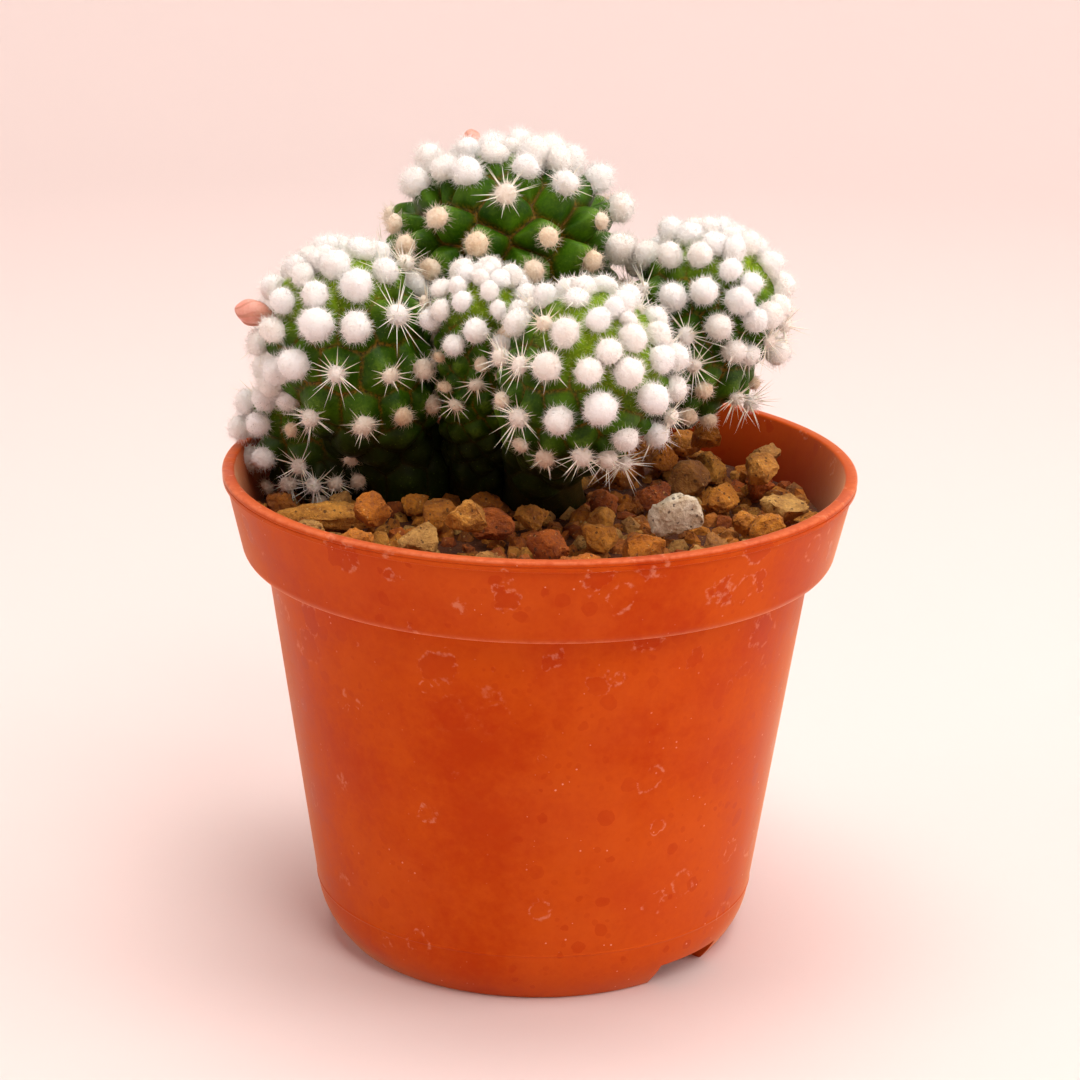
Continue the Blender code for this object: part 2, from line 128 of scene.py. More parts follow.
# A round floor, which curves up into a wall on every side
def makeFloor():
    away, bend, facets = room["wallAway"], room["wallBend"], room["wallFacets"]
    line = [(away * step / 6, 0.0) for step in range(1, 6)] + [
        (away + bend * math.sin(a), bend * (1 - math.cos(a)))
        for a in (math.pi / 2 * step / 24 for step in range(25))
    ] + [(away + bend, room["wallHeight"])]
    turns = [math.tau * facet / facets for facet in range(facets)]
    points = [(radius * math.cos(turn), radius * math.sin(turn), height)
              for radius, height in line for turn in turns]
    faces = [[facets * row + facet, facets * (row + 1) + facet,
              facets * (row + 1) + (facet + 1) % facets, facets * row + (facet + 1) % facets]
             for row in range(len(line) - 1) for facet in range(facets)]
    faces.append(list(range(facets)))
    mesh = bpy.data.meshes.new("floor")
    mesh.from_pydata(points, [], faces)
    mesh.shade_smooth()
    floor = bpy.data.objects.new("floor", mesh)
    scene.collection.objects.link(floor)
    mesh.materials.append(plainMaterial("pale paper", room["floorColour"], 0.9))


# The first input in use with that name, or at that place
def socketOf(node, name):
    if isinstance(name, int):
        return node.inputs[name]
    return next(s for s in node.inputs if s.name == name and s.enabled)


def feed(tree, target, value):
    if isinstance(value, bpy.types.NodeSocket):
        tree.links.new(value, target)
    elif isinstance(value, bpy.types.Node):
        tree.links.new(next(s for s in value.outputs if s.enabled), target)
    else:
        target.default_value = value


# A node with its settings, then its inputs by name or place
def add(tree, kind, inputs=None, **settings):
    node = tree.nodes.new(kind)
    for key, value in settings.items():
        setattr(node, key, value)
    for name, value in (inputs or {}).items():
        feed(tree, socketOf(node, name), value)
    return node


# Arithmetic on numbers or sockets
def sums(tree, operation, a, b):
    return add(tree, "ShaderNodeMath", {0: a, 1: b}, operation=operation)


def times(tree, a, b):
    return sums(tree, "MULTIPLY", a, b)


def larger(tree, a, b):
    return sums(tree, "MAXIMUM", a, b)


# A value that the mesh carries at each point
def markedBy(tree, name):
    return add(tree, "ShaderNodeAttribute", attribute_name=name).outputs["Fac"]


# start below low, end above high, with a soft step between
def ramp(tree, value, low, high, start=0.0, end=1.0):
    return add(tree, "ShaderNodeMapRange", {
        "Value": value, "From Min": low, "From Max": high, "To Min": start, "To Max": end,
    }, interpolation_type="SMOOTHSTEP")


def blendColours(tree, share, first, second, mode="MIX"):
    node = add(tree, "ShaderNodeMix", {"Factor": share}, data_type="RGBA", blend_type=mode)
    colours = [s for s in node.inputs if s.enabled and s.name in ("A", "B")]
    for socket, value in zip(colours, (first, second)):
        feed(tree, socket, value)
    return next(s for s in node.outputs if s.enabled)


# A node group with named sockets, and its two ends
def newGroup(name, kind, inputs, outputs):
    tree = bpy.data.node_groups.new(name, kind)
    for label, socket, value in inputs:
        made = tree.interface.new_socket(name=label, in_out="INPUT", socket_type=socket)
        if value is not None:
            made.default_value = value
    for label, socket in outputs:
        tree.interface.new_socket(name=label, in_out="OUTPUT", socket_type=socket)
    return tree, tree.nodes.new("NodeGroupInput"), tree.nodes.new("NodeGroupOutput")


def useGroup(tree, group, inputs):
    node = tree.nodes.new("ShaderNodeGroup")
    node.node_tree = group
    for name, value in inputs.items():
        feed(tree, node.inputs[name], value)
    return node


def newMaterial(name):
    made = bpy.data.materials.new(name)
    made.use_nodes = True
    tree = made.node_tree
    place = add(tree, "ShaderNodeTexCoord").outputs["Object"]
    return made, tree, tree.nodes["Principled BSDF"], place


def plainMaterial(name, colour, roughness):
    made, tree, shader, place = newMaterial(name)
    grain = add(tree, "ShaderNodeTexNoise", {"Vector": place, "Scale": 900.0, "Detail": 3.0})
    feed(tree, shader.inputs["Roughness"], ramp(tree, grain, 0.3, 0.7, roughness - 0.05, roughness))
    shader.inputs["Base Color"].default_value = colour
    return made


def finishWith(tree, shader, colour, roughness, height, distance, strength=1.0):
    feed(tree, shader.inputs["Base Color"], colour)
    feed(tree, shader.inputs["Roughness"], roughness)
    bump = add(tree, "ShaderNodeBump", {"Height": height, "Distance": distance, "Strength": strength})
    feed(tree, shader.inputs["Normal"], bump)


# Soft patches over fine grain
def makeMottleGroup():
    tree, start, end = newGroup("mottle", "ShaderNodeTree", [
        ("Vector", "NodeSocketVector", None), ("Patch Scale", "NodeSocketFloat", 150.0),
        ("Grain Scale", "NodeSocketFloat", 1500.0), ("Grain Share", "NodeSocketFloat", 0.4),
    ], [("Mask", "NodeSocketFloat"), ("Grain", "NodeSocketFloat")])
    patch = add(tree, "ShaderNodeTexNoise", {
        "Vector": start.outputs["Vector"], "Scale": start.outputs["Patch Scale"], "Detail": 3.0})
    grain = add(tree, "ShaderNodeTexNoise", {
        "Vector": start.outputs["Vector"], "Scale": start.outputs["Grain Scale"], "Detail": 4.0,
        "Roughness": 0.65})
    mixed = add(tree, "ShaderNodeMix", {
        "Factor": start.outputs["Grain Share"], "A": patch.outputs[0], "B": grain.outputs[0]})
    feed(tree, end.inputs["Mask"], ramp(tree, mixed, 0.32, 0.68))
    feed(tree, end.inputs["Grain"], grain.outputs[0])
    return tree


# Ragged round marks: a filled spot, its edge, and how much of each place is marked
def makeSpotsGroup():
    tree, start, end = newGroup("waterSpots", "ShaderNodeTree", [
        ("Vector", "NodeSocketVector", None), ("Scale", "NodeSocketFloat", 200.0),
        ("Size", "NodeSocketFloat", 0.3), ("Amount", "NodeSocketFloat", 0.4),
        ("Raggedness", "NodeSocketFloat", 0.002),
    ], [("Spot", "NodeSocketFloat"), ("Ring", "NodeSocketFloat")])
    wander = add(tree, "ShaderNodeTexNoise", {
        "Vector": start.outputs["Vector"], "Scale": 330.0, "Detail": 3.0})
    centred = add(tree, "ShaderNodeVectorMath", {0: wander.outputs["Color"], 1: (0.5, 0.5, 0.5)},
                  operation="SUBTRACT")
    shift = add(tree, "ShaderNodeVectorMath", {0: centred, "Scale": start.outputs["Raggedness"]},
                operation="SCALE")
    moved = add(tree, "ShaderNodeVectorMath", {0: start.outputs["Vector"], 1: shift}, operation="ADD")
    cells = add(tree, "ShaderNodeTexVoronoi", {"Vector": moved, "Scale": start.outputs["Scale"]})
    parts = add(tree, "ShaderNodeSeparateColor", {"Color": cells.outputs["Color"]})
    chosen = sums(tree, "LESS_THAN", parts.outputs[0], start.outputs["Amount"])
    size = times(tree, start.outputs["Size"], ramp(tree, parts.outputs[1], 0, 1, 0.35, 1.0))
    inside = sums(tree, "DIVIDE", cells.outputs["Distance"], size)
    spot = ramp(tree, inside, 0.93, 1.0, 1.0, 0.0)
    outer = ramp(tree, inside, 0.80, 0.96)
    ring = times(tree, outer, ramp(tree, inside, 1.0, 1.16, 1.0, 0.0))
    feed(tree, end.inputs["Spot"], times(tree, spot, chosen))
    feed(tree, end.inputs["Ring"], times(tree, ring, chosen))
    return tree


mottleGroup = makeMottleGroup()
spotsGroup = makeSpotsGroup()


def mottle(tree, place, patch, grain, share):
    return useGroup(tree, mottleGroup, {
        "Vector": place, "Patch Scale": patch, "Grain Scale": grain, "Grain Share": share}).outputs


def spots(tree, place, scale, size, amount, ragged):
    return useGroup(tree, spotsGroup, {
        "Vector": place, "Scale": scale, "Size": size, "Amount": amount, "Raggedness": ragged}).outputs


# Marks are (number to a metre, size in their cell, share of cells with one, raggedness in metres)
plastic = {
    "deep": (0.43, 0.037, 0.0004, 1),
    "bright": (0.52, 0.070, 0.002, 1),
    "faded": (0.60, 0.100, 0.018, 1),
    "washed": (0.37, 0.018, 0.0003, 1),
    "chalk": (0.80, 0.42, 0.28, 1),
    "edgeWearAndHighlight": (0.84, 0.30, 0.16, 1),
    # painted shade for the inside wall
    "insideShade": (0.11, 0.0045, 0.0002, 1),
    "blots": (150.0, 0.46, 0.50, 0.0050),
    "drops": (330.0, 0.42, 0.42, 0.0020),
    "dots": (700.0, 0.38, 0.40, 0.0009),
    "rings": (190.0, 0.42, 0.22, 0.0030),
    "specks": (1100.0, 0.17, 0.16, 0.0004),
    "splashed": (0.040, 0.058),  # the blots fade in between these heights
    "bloom": 0.60,  # the pale sheen at the sides
    "bloomTint": (1.0, 0.64, 0.36, 1),
}


# Worn orange nursery plastic: a film of dust, washed and wet places, dried drops and specks; pale edges
# partly wear, partly painted highlight; painted shade inside
def makePlastic():
    made, tree, shader, place = newMaterial("dusty orange plastic")
    film = mottle(tree, place, 75.0, 900.0, 0.35)
    broad = mottle(tree, place, 26.0, 300.0, 0.2)
    blots, drops, dots, rings, specks = (
        spots(tree, place, *plastic[kind]) for kind in ("blots", "drops", "dots", "rings", "specks"))
    height = add(tree, "ShaderNodeSeparateXYZ", {0: place}).outputs["Z"]
    underLip = ramp(tree, height, *plastic["splashed"])
    wet = times(tree, blots["Spot"], ramp(tree, underLip, 0, 1, 0.15, 1.0))
    wet = larger(tree, wet, times(tree, drops["Spot"], ramp(tree, broad["Mask"], 0.2, 0.8, 0.25, 0.9)))
    wet = larger(tree, wet, times(tree, dots["Spot"], ramp(tree, film["Mask"], 0.3, 0.9, 0.0, 0.6)))
    colour = blendColours(tree, film["Mask"], plastic["deep"], plastic["bright"])
    colour = blendColours(tree, ramp(tree, broad["Mask"], 0, 1, 0.0, 0.30), colour, plastic["faded"])
    colour = blendColours(tree, times(tree, wet, 0.40), colour, plastic["washed"])
    edges = larger(tree, rings["Ring"], times(tree, blots["Ring"], underLip))
    chalk = times(tree, edges, ramp(tree, film["Grain"], 0.46, 0.62, 0.0, 0.26))
    chalk = larger(tree, chalk, times(tree, specks["Spot"], ramp(tree, broad["Mask"], 0.2, 0.7, 0.1, 0.55)))
    colour = blendColours(tree, chalk, colour, plastic["chalk"])
    # pale lip and collar edges: partly wear, partly painted highlight
    edgeWearAndHighlight = markedBy(tree, "edgeWearAndHighlight")
    edgeWearAndHighlight = times(tree, edgeWearAndHighlight, ramp(tree, film["Grain"], 0.35, 0.60, 0.45, 1.0))
    colour = blendColours(tree, times(tree, edgeWearAndHighlight, 0.45), colour, plastic["edgeWearAndHighlight"])
    # painted shade: the inside wall is darkened more the deeper it lies below the rim
    inner = markedBy(tree, "inner")
    insideShadeShare = times(tree, inner, ramp(tree, film["Mask"], 0, 1, 0.80, 1.0))
    colour = blendColours(tree, insideShadeShare, colour, plastic["insideShade"])
    rough = sums(tree, "SUBTRACT", ramp(tree, film["Mask"], 0, 1, 0.40, 0.54), times(tree, wet, 0.10))
    lift = sums(tree, "ADD", times(tree, film["Grain"], 0.5), times(tree, chalk, 0.6))
    finishWith(tree, shader, colour, rough, lift, 0.00005, 0.5)
    shader.inputs["Specular IOR Level"].default_value = 0.05
    shader.inputs["Sheen Weight"].default_value = plastic["bloom"]
    shader.inputs["Sheen Roughness"].default_value = 0.30
    shader.inputs["Sheen Tint"].default_value = plastic["bloomTint"]
    return made


# Waxy green skin: limes at the crown, browns in the axils between tubercles
def makeSkin(name, deep, mid, lime):
    made, tree, shader, place = newMaterial(name)
    patches = mottle(tree, place, 260.0, 2400.0, 0.35)
    young = markedBy(tree, "young")
    rise = markedBy(tree, "rise")
    colour = blendColours(tree, patches["Mask"], deep, mid)
    fresh = times(tree, young, ramp(tree, patches["Grain"], 0.3, 0.7, 0.55, 1.0))
    colour = blendColours(tree, fresh, colour, lime)
    axil = ramp(tree, rise, 0.04, 0.42, 1.0, 0.0)
    rust = blendColours(tree, ramp(tree, patches["Grain"], 0.40, 0.60), (0.035, 0.022, 0.002, 1),
                        (0.24, 0.095, 0.008, 1))
    axil = times(tree, axil, ramp(tree, young, 0.1, 0.7, 0.80, 0.15))
    colour = blendColours(tree, axil, colour, rust)
    tip = times(tree, ramp(tree, rise, 0.70, 1.0), ramp(tree, patches["Grain"], 0.35, 0.65, 0.10, 0.45))
    colour = blendColours(tree, tip, colour, (0.20, 0.33, 0.03, 1))
    # painted shade: low skin in the hollow under the heads is blended toward near black
    paintedFootShade = markedBy(tree, "paintedFootShade")
    colour = blendColours(tree, times(tree, paintedFootShade, 0.9), colour, (0.010, 0.013, 0.003, 1))
    pores = spots(tree, place, 2200.0, 0.22, 0.5, 0.0002)
    colour = blendColours(tree, times(tree, pores["Spot"], 0.22), colour, (0.26, 0.40, 0.05, 1))
    rough = ramp(tree, patches["Mask"], 0, 1, 0.36, 0.48)
    finishWith(tree, shader, colour, rough, patches["Grain"], 0.00012, 0.5)
    shader.inputs["Subsurface Weight"].default_value = 0.12
    shader.inputs["Subsurface Radius"].default_value = (0.4, 0.8, 0.05)
    shader.inputs["Subsurface Scale"].default_value = 0.0015
    shader.inputs["Specular IOR Level"].default_value = 0.14
    return made


# White down that yellows as it ages
def makeWoolFinish():
    made, tree, shader, place = newMaterial("white wool")
    age = markedBy(tree, "age")
    patches = mottle(tree, place, 420.0, 2600.0, 0.5)
    cream = blendColours(tree, patches["Mask"], (0.72, 0.47, 0.24, 1), (0.90, 0.74, 0.54, 1))
    white = blendColours(tree, patches["Mask"], (0.95, 0.91, 0.88, 1), (1.0, 0.985, 0.97, 1))
    colour = blendColours(tree, age, white, cream)
    rough = ramp(tree, patches["Grain"], 0, 1, 0.85, 1.0)
    finishWith(tree, shader, colour, rough, patches["Grain"], 0.0003, 0.7)
    shader.inputs["Subsurface Weight"].default_value = 0.5
    shader.inputs["Subsurface Radius"].default_value = (1.0, 0.92, 0.85)
    shader.inputs["Subsurface Scale"].default_value = 0.0012
    shader.inputs["Specular IOR Level"].default_value = 0.15
    return made


def makeSpineFinish():
    made, tree, shader, place = newMaterial("pale spine")
    age = markedBy(tree, "age")
    patches = mottle(tree, place, 600.0, 3000.0, 0.4)
    straw = blendColours(tree, patches["Mask"], (0.84, 0.64, 0.40, 1), (0.93, 0.82, 0.62, 1))
    pale = blendColours(tree, patches["Mask"], (0.97, 0.92, 0.82, 1), (1.0, 0.98, 0.93, 1))
    colour = blendColours(tree, age, pale, straw)
    rough = ramp(tree, patches["Grain"], 0, 1, 0.35, 0.5)
    finishWith(tree, shader, colour, rough, patches["Grain"], 0.00004, 0.4)
    shader.inputs["Subsurface Weight"].default_value = 0.2
    shader.inputs["Subsurface Scale"].default_value = 0.0005
    return made


def makeFuzzFinish():
    made, tree, shader, place = newMaterial("lime fuzz")
    patches = mottle(tree, place, 300.0, 2000.0, 0.5)
    colour = blendColours(tree, patches["Mask"], (0.34, 0.48, 0.020, 1), (0.72, 0.82, 0.22, 1))
    rough = ramp(tree, patches["Grain"], 0, 1, 0.55, 0.7)
    finishWith(tree, shader, colour, rough, patches["Grain"], 0.00003, 0.3)
    return made


def makeBudFinish():
    made, tree, shader, place = newMaterial("salmon bud")
    petal = markedBy(tree, "petal")
    patches = mottle(tree, place, 500.0, 2600.0, 0.4)
    colour = blendColours(tree, patches["Mask"], (0.70, 0.27, 0.20, 1), (0.82, 0.42, 0.33, 1))
    colour = blendColours(tree, ramp(tree, petal, 0.55, 1.0, 0.0, 0.75), colour, (0.45, 0.16, 0.09, 1))
    rough = ramp(tree, patches["Grain"], 0, 1, 0.42, 0.55)
    finishWith(tree, shader, colour, rough, patches["Grain"], 0.00008, 0.5)
    shader.inputs["Subsurface Weight"].default_value = 0.15
    shader.inputs["Subsurface Scale"].default_value = 0.001
    return made


# Broken stone: a shade for each stone, with stains, dark pits, and pale chips that are partly painted
# highlight
def makeStoneFinish(name, shades, patch, dirt=(0.42, 0.32, 0.20, 1)):
    made, tree, shader, place = newMaterial(name)
    tint = markedBy(tree, "tint")
    patches = mottle(tree, place, patch, 1900.0, 0.45)
    ladder = add(tree, "ShaderNodeValToRGB", {"Fac": tint})
    steps = ladder.color_ramp.elements
    for index, shade in enumerate(shades):
        at = index / (len(shades) - 1)
        step = steps[index] if index < 2 else steps.new(at)
        step.position = at
        step.color = (*shade, 1)
    darker = blendColours(tree, 1.0, ladder, dirt, "MULTIPLY")
    colour = blendColours(tree, patches["Mask"], darker, ladder)
    pits = spots(tree, place, 1300.0, 0.34, 0.42, 0.0006)
    colour = blendColours(tree, times(tree, pits["Spot"], 0.75), colour, (0.06, 0.022, 0.003, 1))
    # pale golden spots: partly chipped faces, partly painted highlight
    paleChipsAndGlints = spots(tree, place, 1700.0, 0.30, 0.30, 0.0005)
    colour = blendColours(tree, times(tree, paleChipsAndGlints["Spot"], 0.35), colour, (0.86, 0.58, 0.20, 1))
    rough = ramp(tree, patches["Grain"], 0.3, 0.7, 0.70, 0.95)
    lift = sums(tree, "SUBTRACT", patches["Grain"], times(tree, pits["Spot"], 0.6))
    finishWith(tree, shader, colour, rough, lift, 0.00055, 1.0)
    return made


def makePeat():
    made, tree, shader, place = newMaterial("dark peat")
    patches = mottle(tree, place, 300.0, 1400.0, 0.5)
    colour = blendColours(tree, patches["Mask"], (0.020, 0.012, 0.007, 1), (0.085, 0.050, 0.028, 1))
    rough = ramp(tree, patches["Grain"], 0, 1, 0.85, 1.0)
    finishWith(tree, shader, colour, rough, patches["Grain"], 0.0006, 0.9)
    return made


def makeObject(name, mesh):
    thing = bpy.data.objects.new(name, mesh)
    scene.collection.objects.link(thing)
    return thing


def setAttribute(mesh, name, values, kind="FLOAT"):
    layer = mesh.attributes.get(name) or mesh.attributes.new(name, kind, "POINT")
    field = "value" if kind == "FLOAT" else "vector"
    layer.data.foreach_set(field, np.asarray(values, np.float32).ravel())


def pointsOf(mesh):
    co = np.zeros(len(mesh.vertices) * 3, np.float32)
    mesh.vertices.foreach_get("co", co)
    return co.reshape(-1, 3)


def setPoints(mesh, co):
    mesh.vertices.foreach_set("co", np.asarray(co, np.float32).ravel())
    mesh.update()


# Turns what the modifiers make into the object's own plain mesh
def applyModifiers(thing):
    shown = thing.evaluated_get(bpy.context.evaluated_depsgraph_get())
    made = bpy.data.meshes.new_from_object(shown)
    thing.modifiers.clear()
    thing.data = made
    made.name = thing.name


def keepPiece(thing, slotName, *nodes):
    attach(thing, bodyName)
    if nodes:
        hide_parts(*nodes)


# Runs a Geometry Nodes tree on an object and keeps the result as its plain mesh
def runTree(tree, source, inputs):
    modifier = source.modifiers.new(tree.name, "NODES")
    modifier.node_group = tree
    sockets = {item.name: item.identifier for item in tree.interface.items_tree if item.in_out == "INPUT"}
    for name, value in inputs.items():
        modifier[sockets[name]] = value
    applyModifiers(source)
    return source


def pointMesh(name, places, aims, **values):
    mesh = bpy.data.meshes.new(name)
    mesh.from_pydata([tuple(p) for p in places], [], [])
    setAttribute(mesh, "aim", aims, "FLOAT_VECTOR")
    for key, numbers in values.items():
        setAttribute(mesh, key, numbers)
    return mesh


pot = {
    "wall": 1.2 * mm,
    "lipHeight": 1.4 * mm,
    "lipOverhang": 0.5 * mm,
    "lipRound": 0.4 * mm,
    "collarHeight": 12.4 * mm,
    "collarNarrowing": 2.4 * mm,
    "shoulder": 3.1 * mm,
    "wallFoot": (31.3 * mm, 4.2 * mm),
    "footRadius": 28.0 * mm,
    "footWall": 1.8 * mm,
    "floorRise": 3.9 * mm,
    "footSoftness": 3.4 * mm,
    "lineHeight": 8.2 * mm,
    "notchAngles": (-42, 138),
    "notchWidth": 11.8 * mm,
    "notchHeight": 3.6 * mm,
    "drainRadius": 2.5 * mm,
    "drainCircle": 15 * mm,
    "drainCount": 6,
    "facets": 192,
    "seamAngle": -83,  # degrees from +X
}


# Points that round a corner of an outline
def softCorner(before, corner, after, size, steps=5):
    before, corner, after = Vector(before), Vector(corner), Vector(after)
    start = corner + (before - corner).normalized() * size
    end = corner + (after - corner).normalized() * size
    return [
        tuple(start * (1 - t) ** 2 + corner * 2 * t * (1 - t) + end * t * t)
        for t in (step / steps for step in range(steps + 1))
    ]


# From the middle of the floor up the inside, over the lip and down to the foot
def potOutline():
    wall, lip = pot["wall"], potHigh.x
    collar = lip - pot["lipOverhang"]
    collarFoot = (collar - pot["collarNarrowing"], rim - pot["collarHeight"])
    wallTop = collarFoot[0] - pot["shoulder"]
    shelf = collarFoot[1] + wall
    floorTop = pot["floorRise"] + wall
    footRadius, footHeight = pot["wallFoot"]
    inner = footRadius - wall

    def onWall(height, proud):
        share = (height - footHeight) / (collarFoot[1] - footHeight)
        return footRadius + (wallTop - footRadius) * share + proud, height

    corners = [
        ((0, floorTop), 0),
        ((inner - wall, floorTop), 0.4 * mm),
        ((inner, floorTop + wall), 0.4 * mm),
        ((wallTop - wall, shelf), 0.5 * mm),
        ((collarFoot[0] - wall, shelf), 0.5 * mm),
        ((collar - wall, rim), 0.35 * mm),
        ((lip, rim), pot["lipRound"]),
        ((lip, rim - pot["lipHeight"] * 0.45), 0.08 * mm),
        ((lip - 0.16 * mm, rim - pot["lipHeight"] * 0.52), 0.05 * mm),
        ((lip - 0.02 * mm, rim - pot["lipHeight"] * 0.62), 0.08 * mm),
        ((lip - 0.05 * mm, rim - pot["lipHeight"]), 0.10 * mm),
        ((collar, rim - pot["lipHeight"] - 0.12 * mm), 0.12 * mm),
        ((collarFoot[0] + 0.10 * mm, collarFoot[1] + 0.9 * mm), 0.50 * mm),
        ((collarFoot[0] - 0.55 * mm, collarFoot[1]), 0.45 * mm),
        ((wallTop, collarFoot[1] - 0.05 * mm), 0.9 * mm),
        (onWall(pot["lineHeight"] + 0.25 * mm, 0), 0.05 * mm),
        (onWall(pot["lineHeight"], 0.10 * mm), 0.05 * mm),
        (onWall(pot["lineHeight"] - 0.25 * mm, 0), 0.05 * mm),
        ((footRadius, footHeight), pot["footSoftness"]),
        ((pot["footRadius"], 0), 0.35 * mm),
        ((pot["footRadius"] - pot["footWall"], 0), 0.30 * mm),
        ((pot["footRadius"] - pot["footWall"], pot["floorRise"]), 0.40 * mm),
        ((0, pot["floorRise"]), 0),
    ]
    outline = []
    for index, (corner, size) in enumerate(corners):
        if size:
            outline += softCorner(corners[index - 1][0], corner, corners[index + 1][0], size)
        else:
            outline.append(corner)
    return outline


def cutterBox(name, size, place, angle):
    bm = bmesh.new()
    bmesh.ops.create_cube(bm, size=1, matrix=Matrix.Rotation(math.radians(angle), 4, "Z")
                          @ Matrix.Translation(place) @ Matrix.Diagonal((*size, 1)))
    mesh = bpy.data.meshes.new(name)
    bm.to_mesh(mesh)
    bm.free()
    return makeObject(name, mesh)


def makePot():
    outline = potOutline()
    mesh = bpy.data.meshes.new("plastic_pot")
    bm = bmesh.new()
    chain = [bm.verts.new((radius, 0, height)) for radius, height in outline]
    edges = [bm.edges.new(pair) for pair in zip(chain, chain[1:])]
    bmesh.ops.spin(bm, geom=chain + edges, cent=(0, 0, 0), axis=(0, 0, 1), angle=math.tau,
                   steps=pot["facets"], use_merge=True)
    bmesh.ops.remove_doubles(bm, verts=bm.verts, dist=0.00001)
    bmesh.ops.recalc_face_normals(bm, faces=bm.faces)
    bm.to_mesh(mesh)
    bm.free()
    thing = makeObject("plastic_pot", mesh)
    cutters = []
    inner = pot["footRadius"] - 2 * pot["footWall"]
    outer = pot["wallFoot"][0] + pot["footWall"]
    for angle in pot["notchAngles"]:
        size = (outer - inner, pot["notchWidth"], 2 * pot["notchHeight"])
        cutters.append(cutterBox("notch", size, ((inner + outer) / 2, 0, 0), angle))
    for hole in range(pot["drainCount"]):
        angle = math.tau * hole / pot["drainCount"]
        bm = bmesh.new()
        bmesh.ops.create_cone(bm, cap_ends=True, segments=32, radius1=pot["drainRadius"],
                              radius2=pot["drainRadius"], depth=3 * pot["wall"])
        bmesh.ops.translate(bm, verts=bm.verts, vec=(
            pot["drainCircle"] * math.cos(angle), pot["drainCircle"] * math.sin(angle),
            pot["floorRise"] + pot["wall"] / 2))
        drain = bpy.data.meshes.new("drain")
        bm.to_mesh(drain)
        bm.free()
        cutters.append(makeObject("drain", drain))
    for cutter in cutters:
        boolean = thing.modifiers.new("cut", "BOOLEAN")
        boolean.operation, boolean.solver, boolean.object = "DIFFERENCE", "EXACT", cutter
    applyModifiers(thing)
    for cutter in cutters:
        bpy.data.objects.remove(cutter, do_unlink=True)
    # a faint moulding seam down the wall, and pale edges at the lip and the collar's foot, partly wear and
    # partly a painted highlight
    co = pointsOf(thing.data)
    away = np.hypot(co[:, 0], co[:, 1])
    around = np.degrees(np.arctan2(co[:, 1], co[:, 0]))
    outside = away > pot["footRadius"] - 1.2 * mm
    step = 0.05 * mm * np.exp(-((around - pot["seamAngle"]) / 0.7) ** 2) * outside
    co[:, :2] += co[:, :2] / np.maximum(away, 1e-6)[:, None] * step[:, None]
    setPoints(thing.data, co)
    lip = softStep((away - (potHigh.x - 0.9 * mm)) / (0.8 * mm))
    lip *= softStep((co[:, 2] - rim + 0.45 * mm) / (0.3 * mm))
    collarFoot = rim - pot["collarHeight"]
    edge = np.exp(-((co[:, 2] - collarFoot - 0.15 * mm) / (0.35 * mm)) ** 2)
    edge *= away > potHigh.x - pot["collarNarrowing"] - 2.2 * mm
    setAttribute(thing.data, "edgeWearAndHighlight", np.maximum(lip * 0.8, edge * 0.7))
    # painted shade: inward faces below the rim are marked darker the deeper they lie
    normals = np.zeros(len(co) * 3, np.float32)
    thing.data.vertices.foreach_get("normal", normals)
    facing = (normals.reshape(-1, 3)[:, :2] * co[:, :2]).sum(1) / np.maximum(away, 1e-6)
    deep = softStep((rim - 1.0 * mm - co[:, 2]) / (4 * mm))
    deep *= co[:, 2] > pot["floorRise"] + 0.5 * pot["wall"]
    setAttribute(thing.data, "inner", softStep(-facing * 2) * deep)
    thing.data.materials.clear()
    thing.data.materials.append(makePlastic())
    thing.data.shade_smooth()
    thing.data.set_sharp_from_angle(angle=math.radians(38))
    keepPiece(thing, "pot_plastic", "pot")


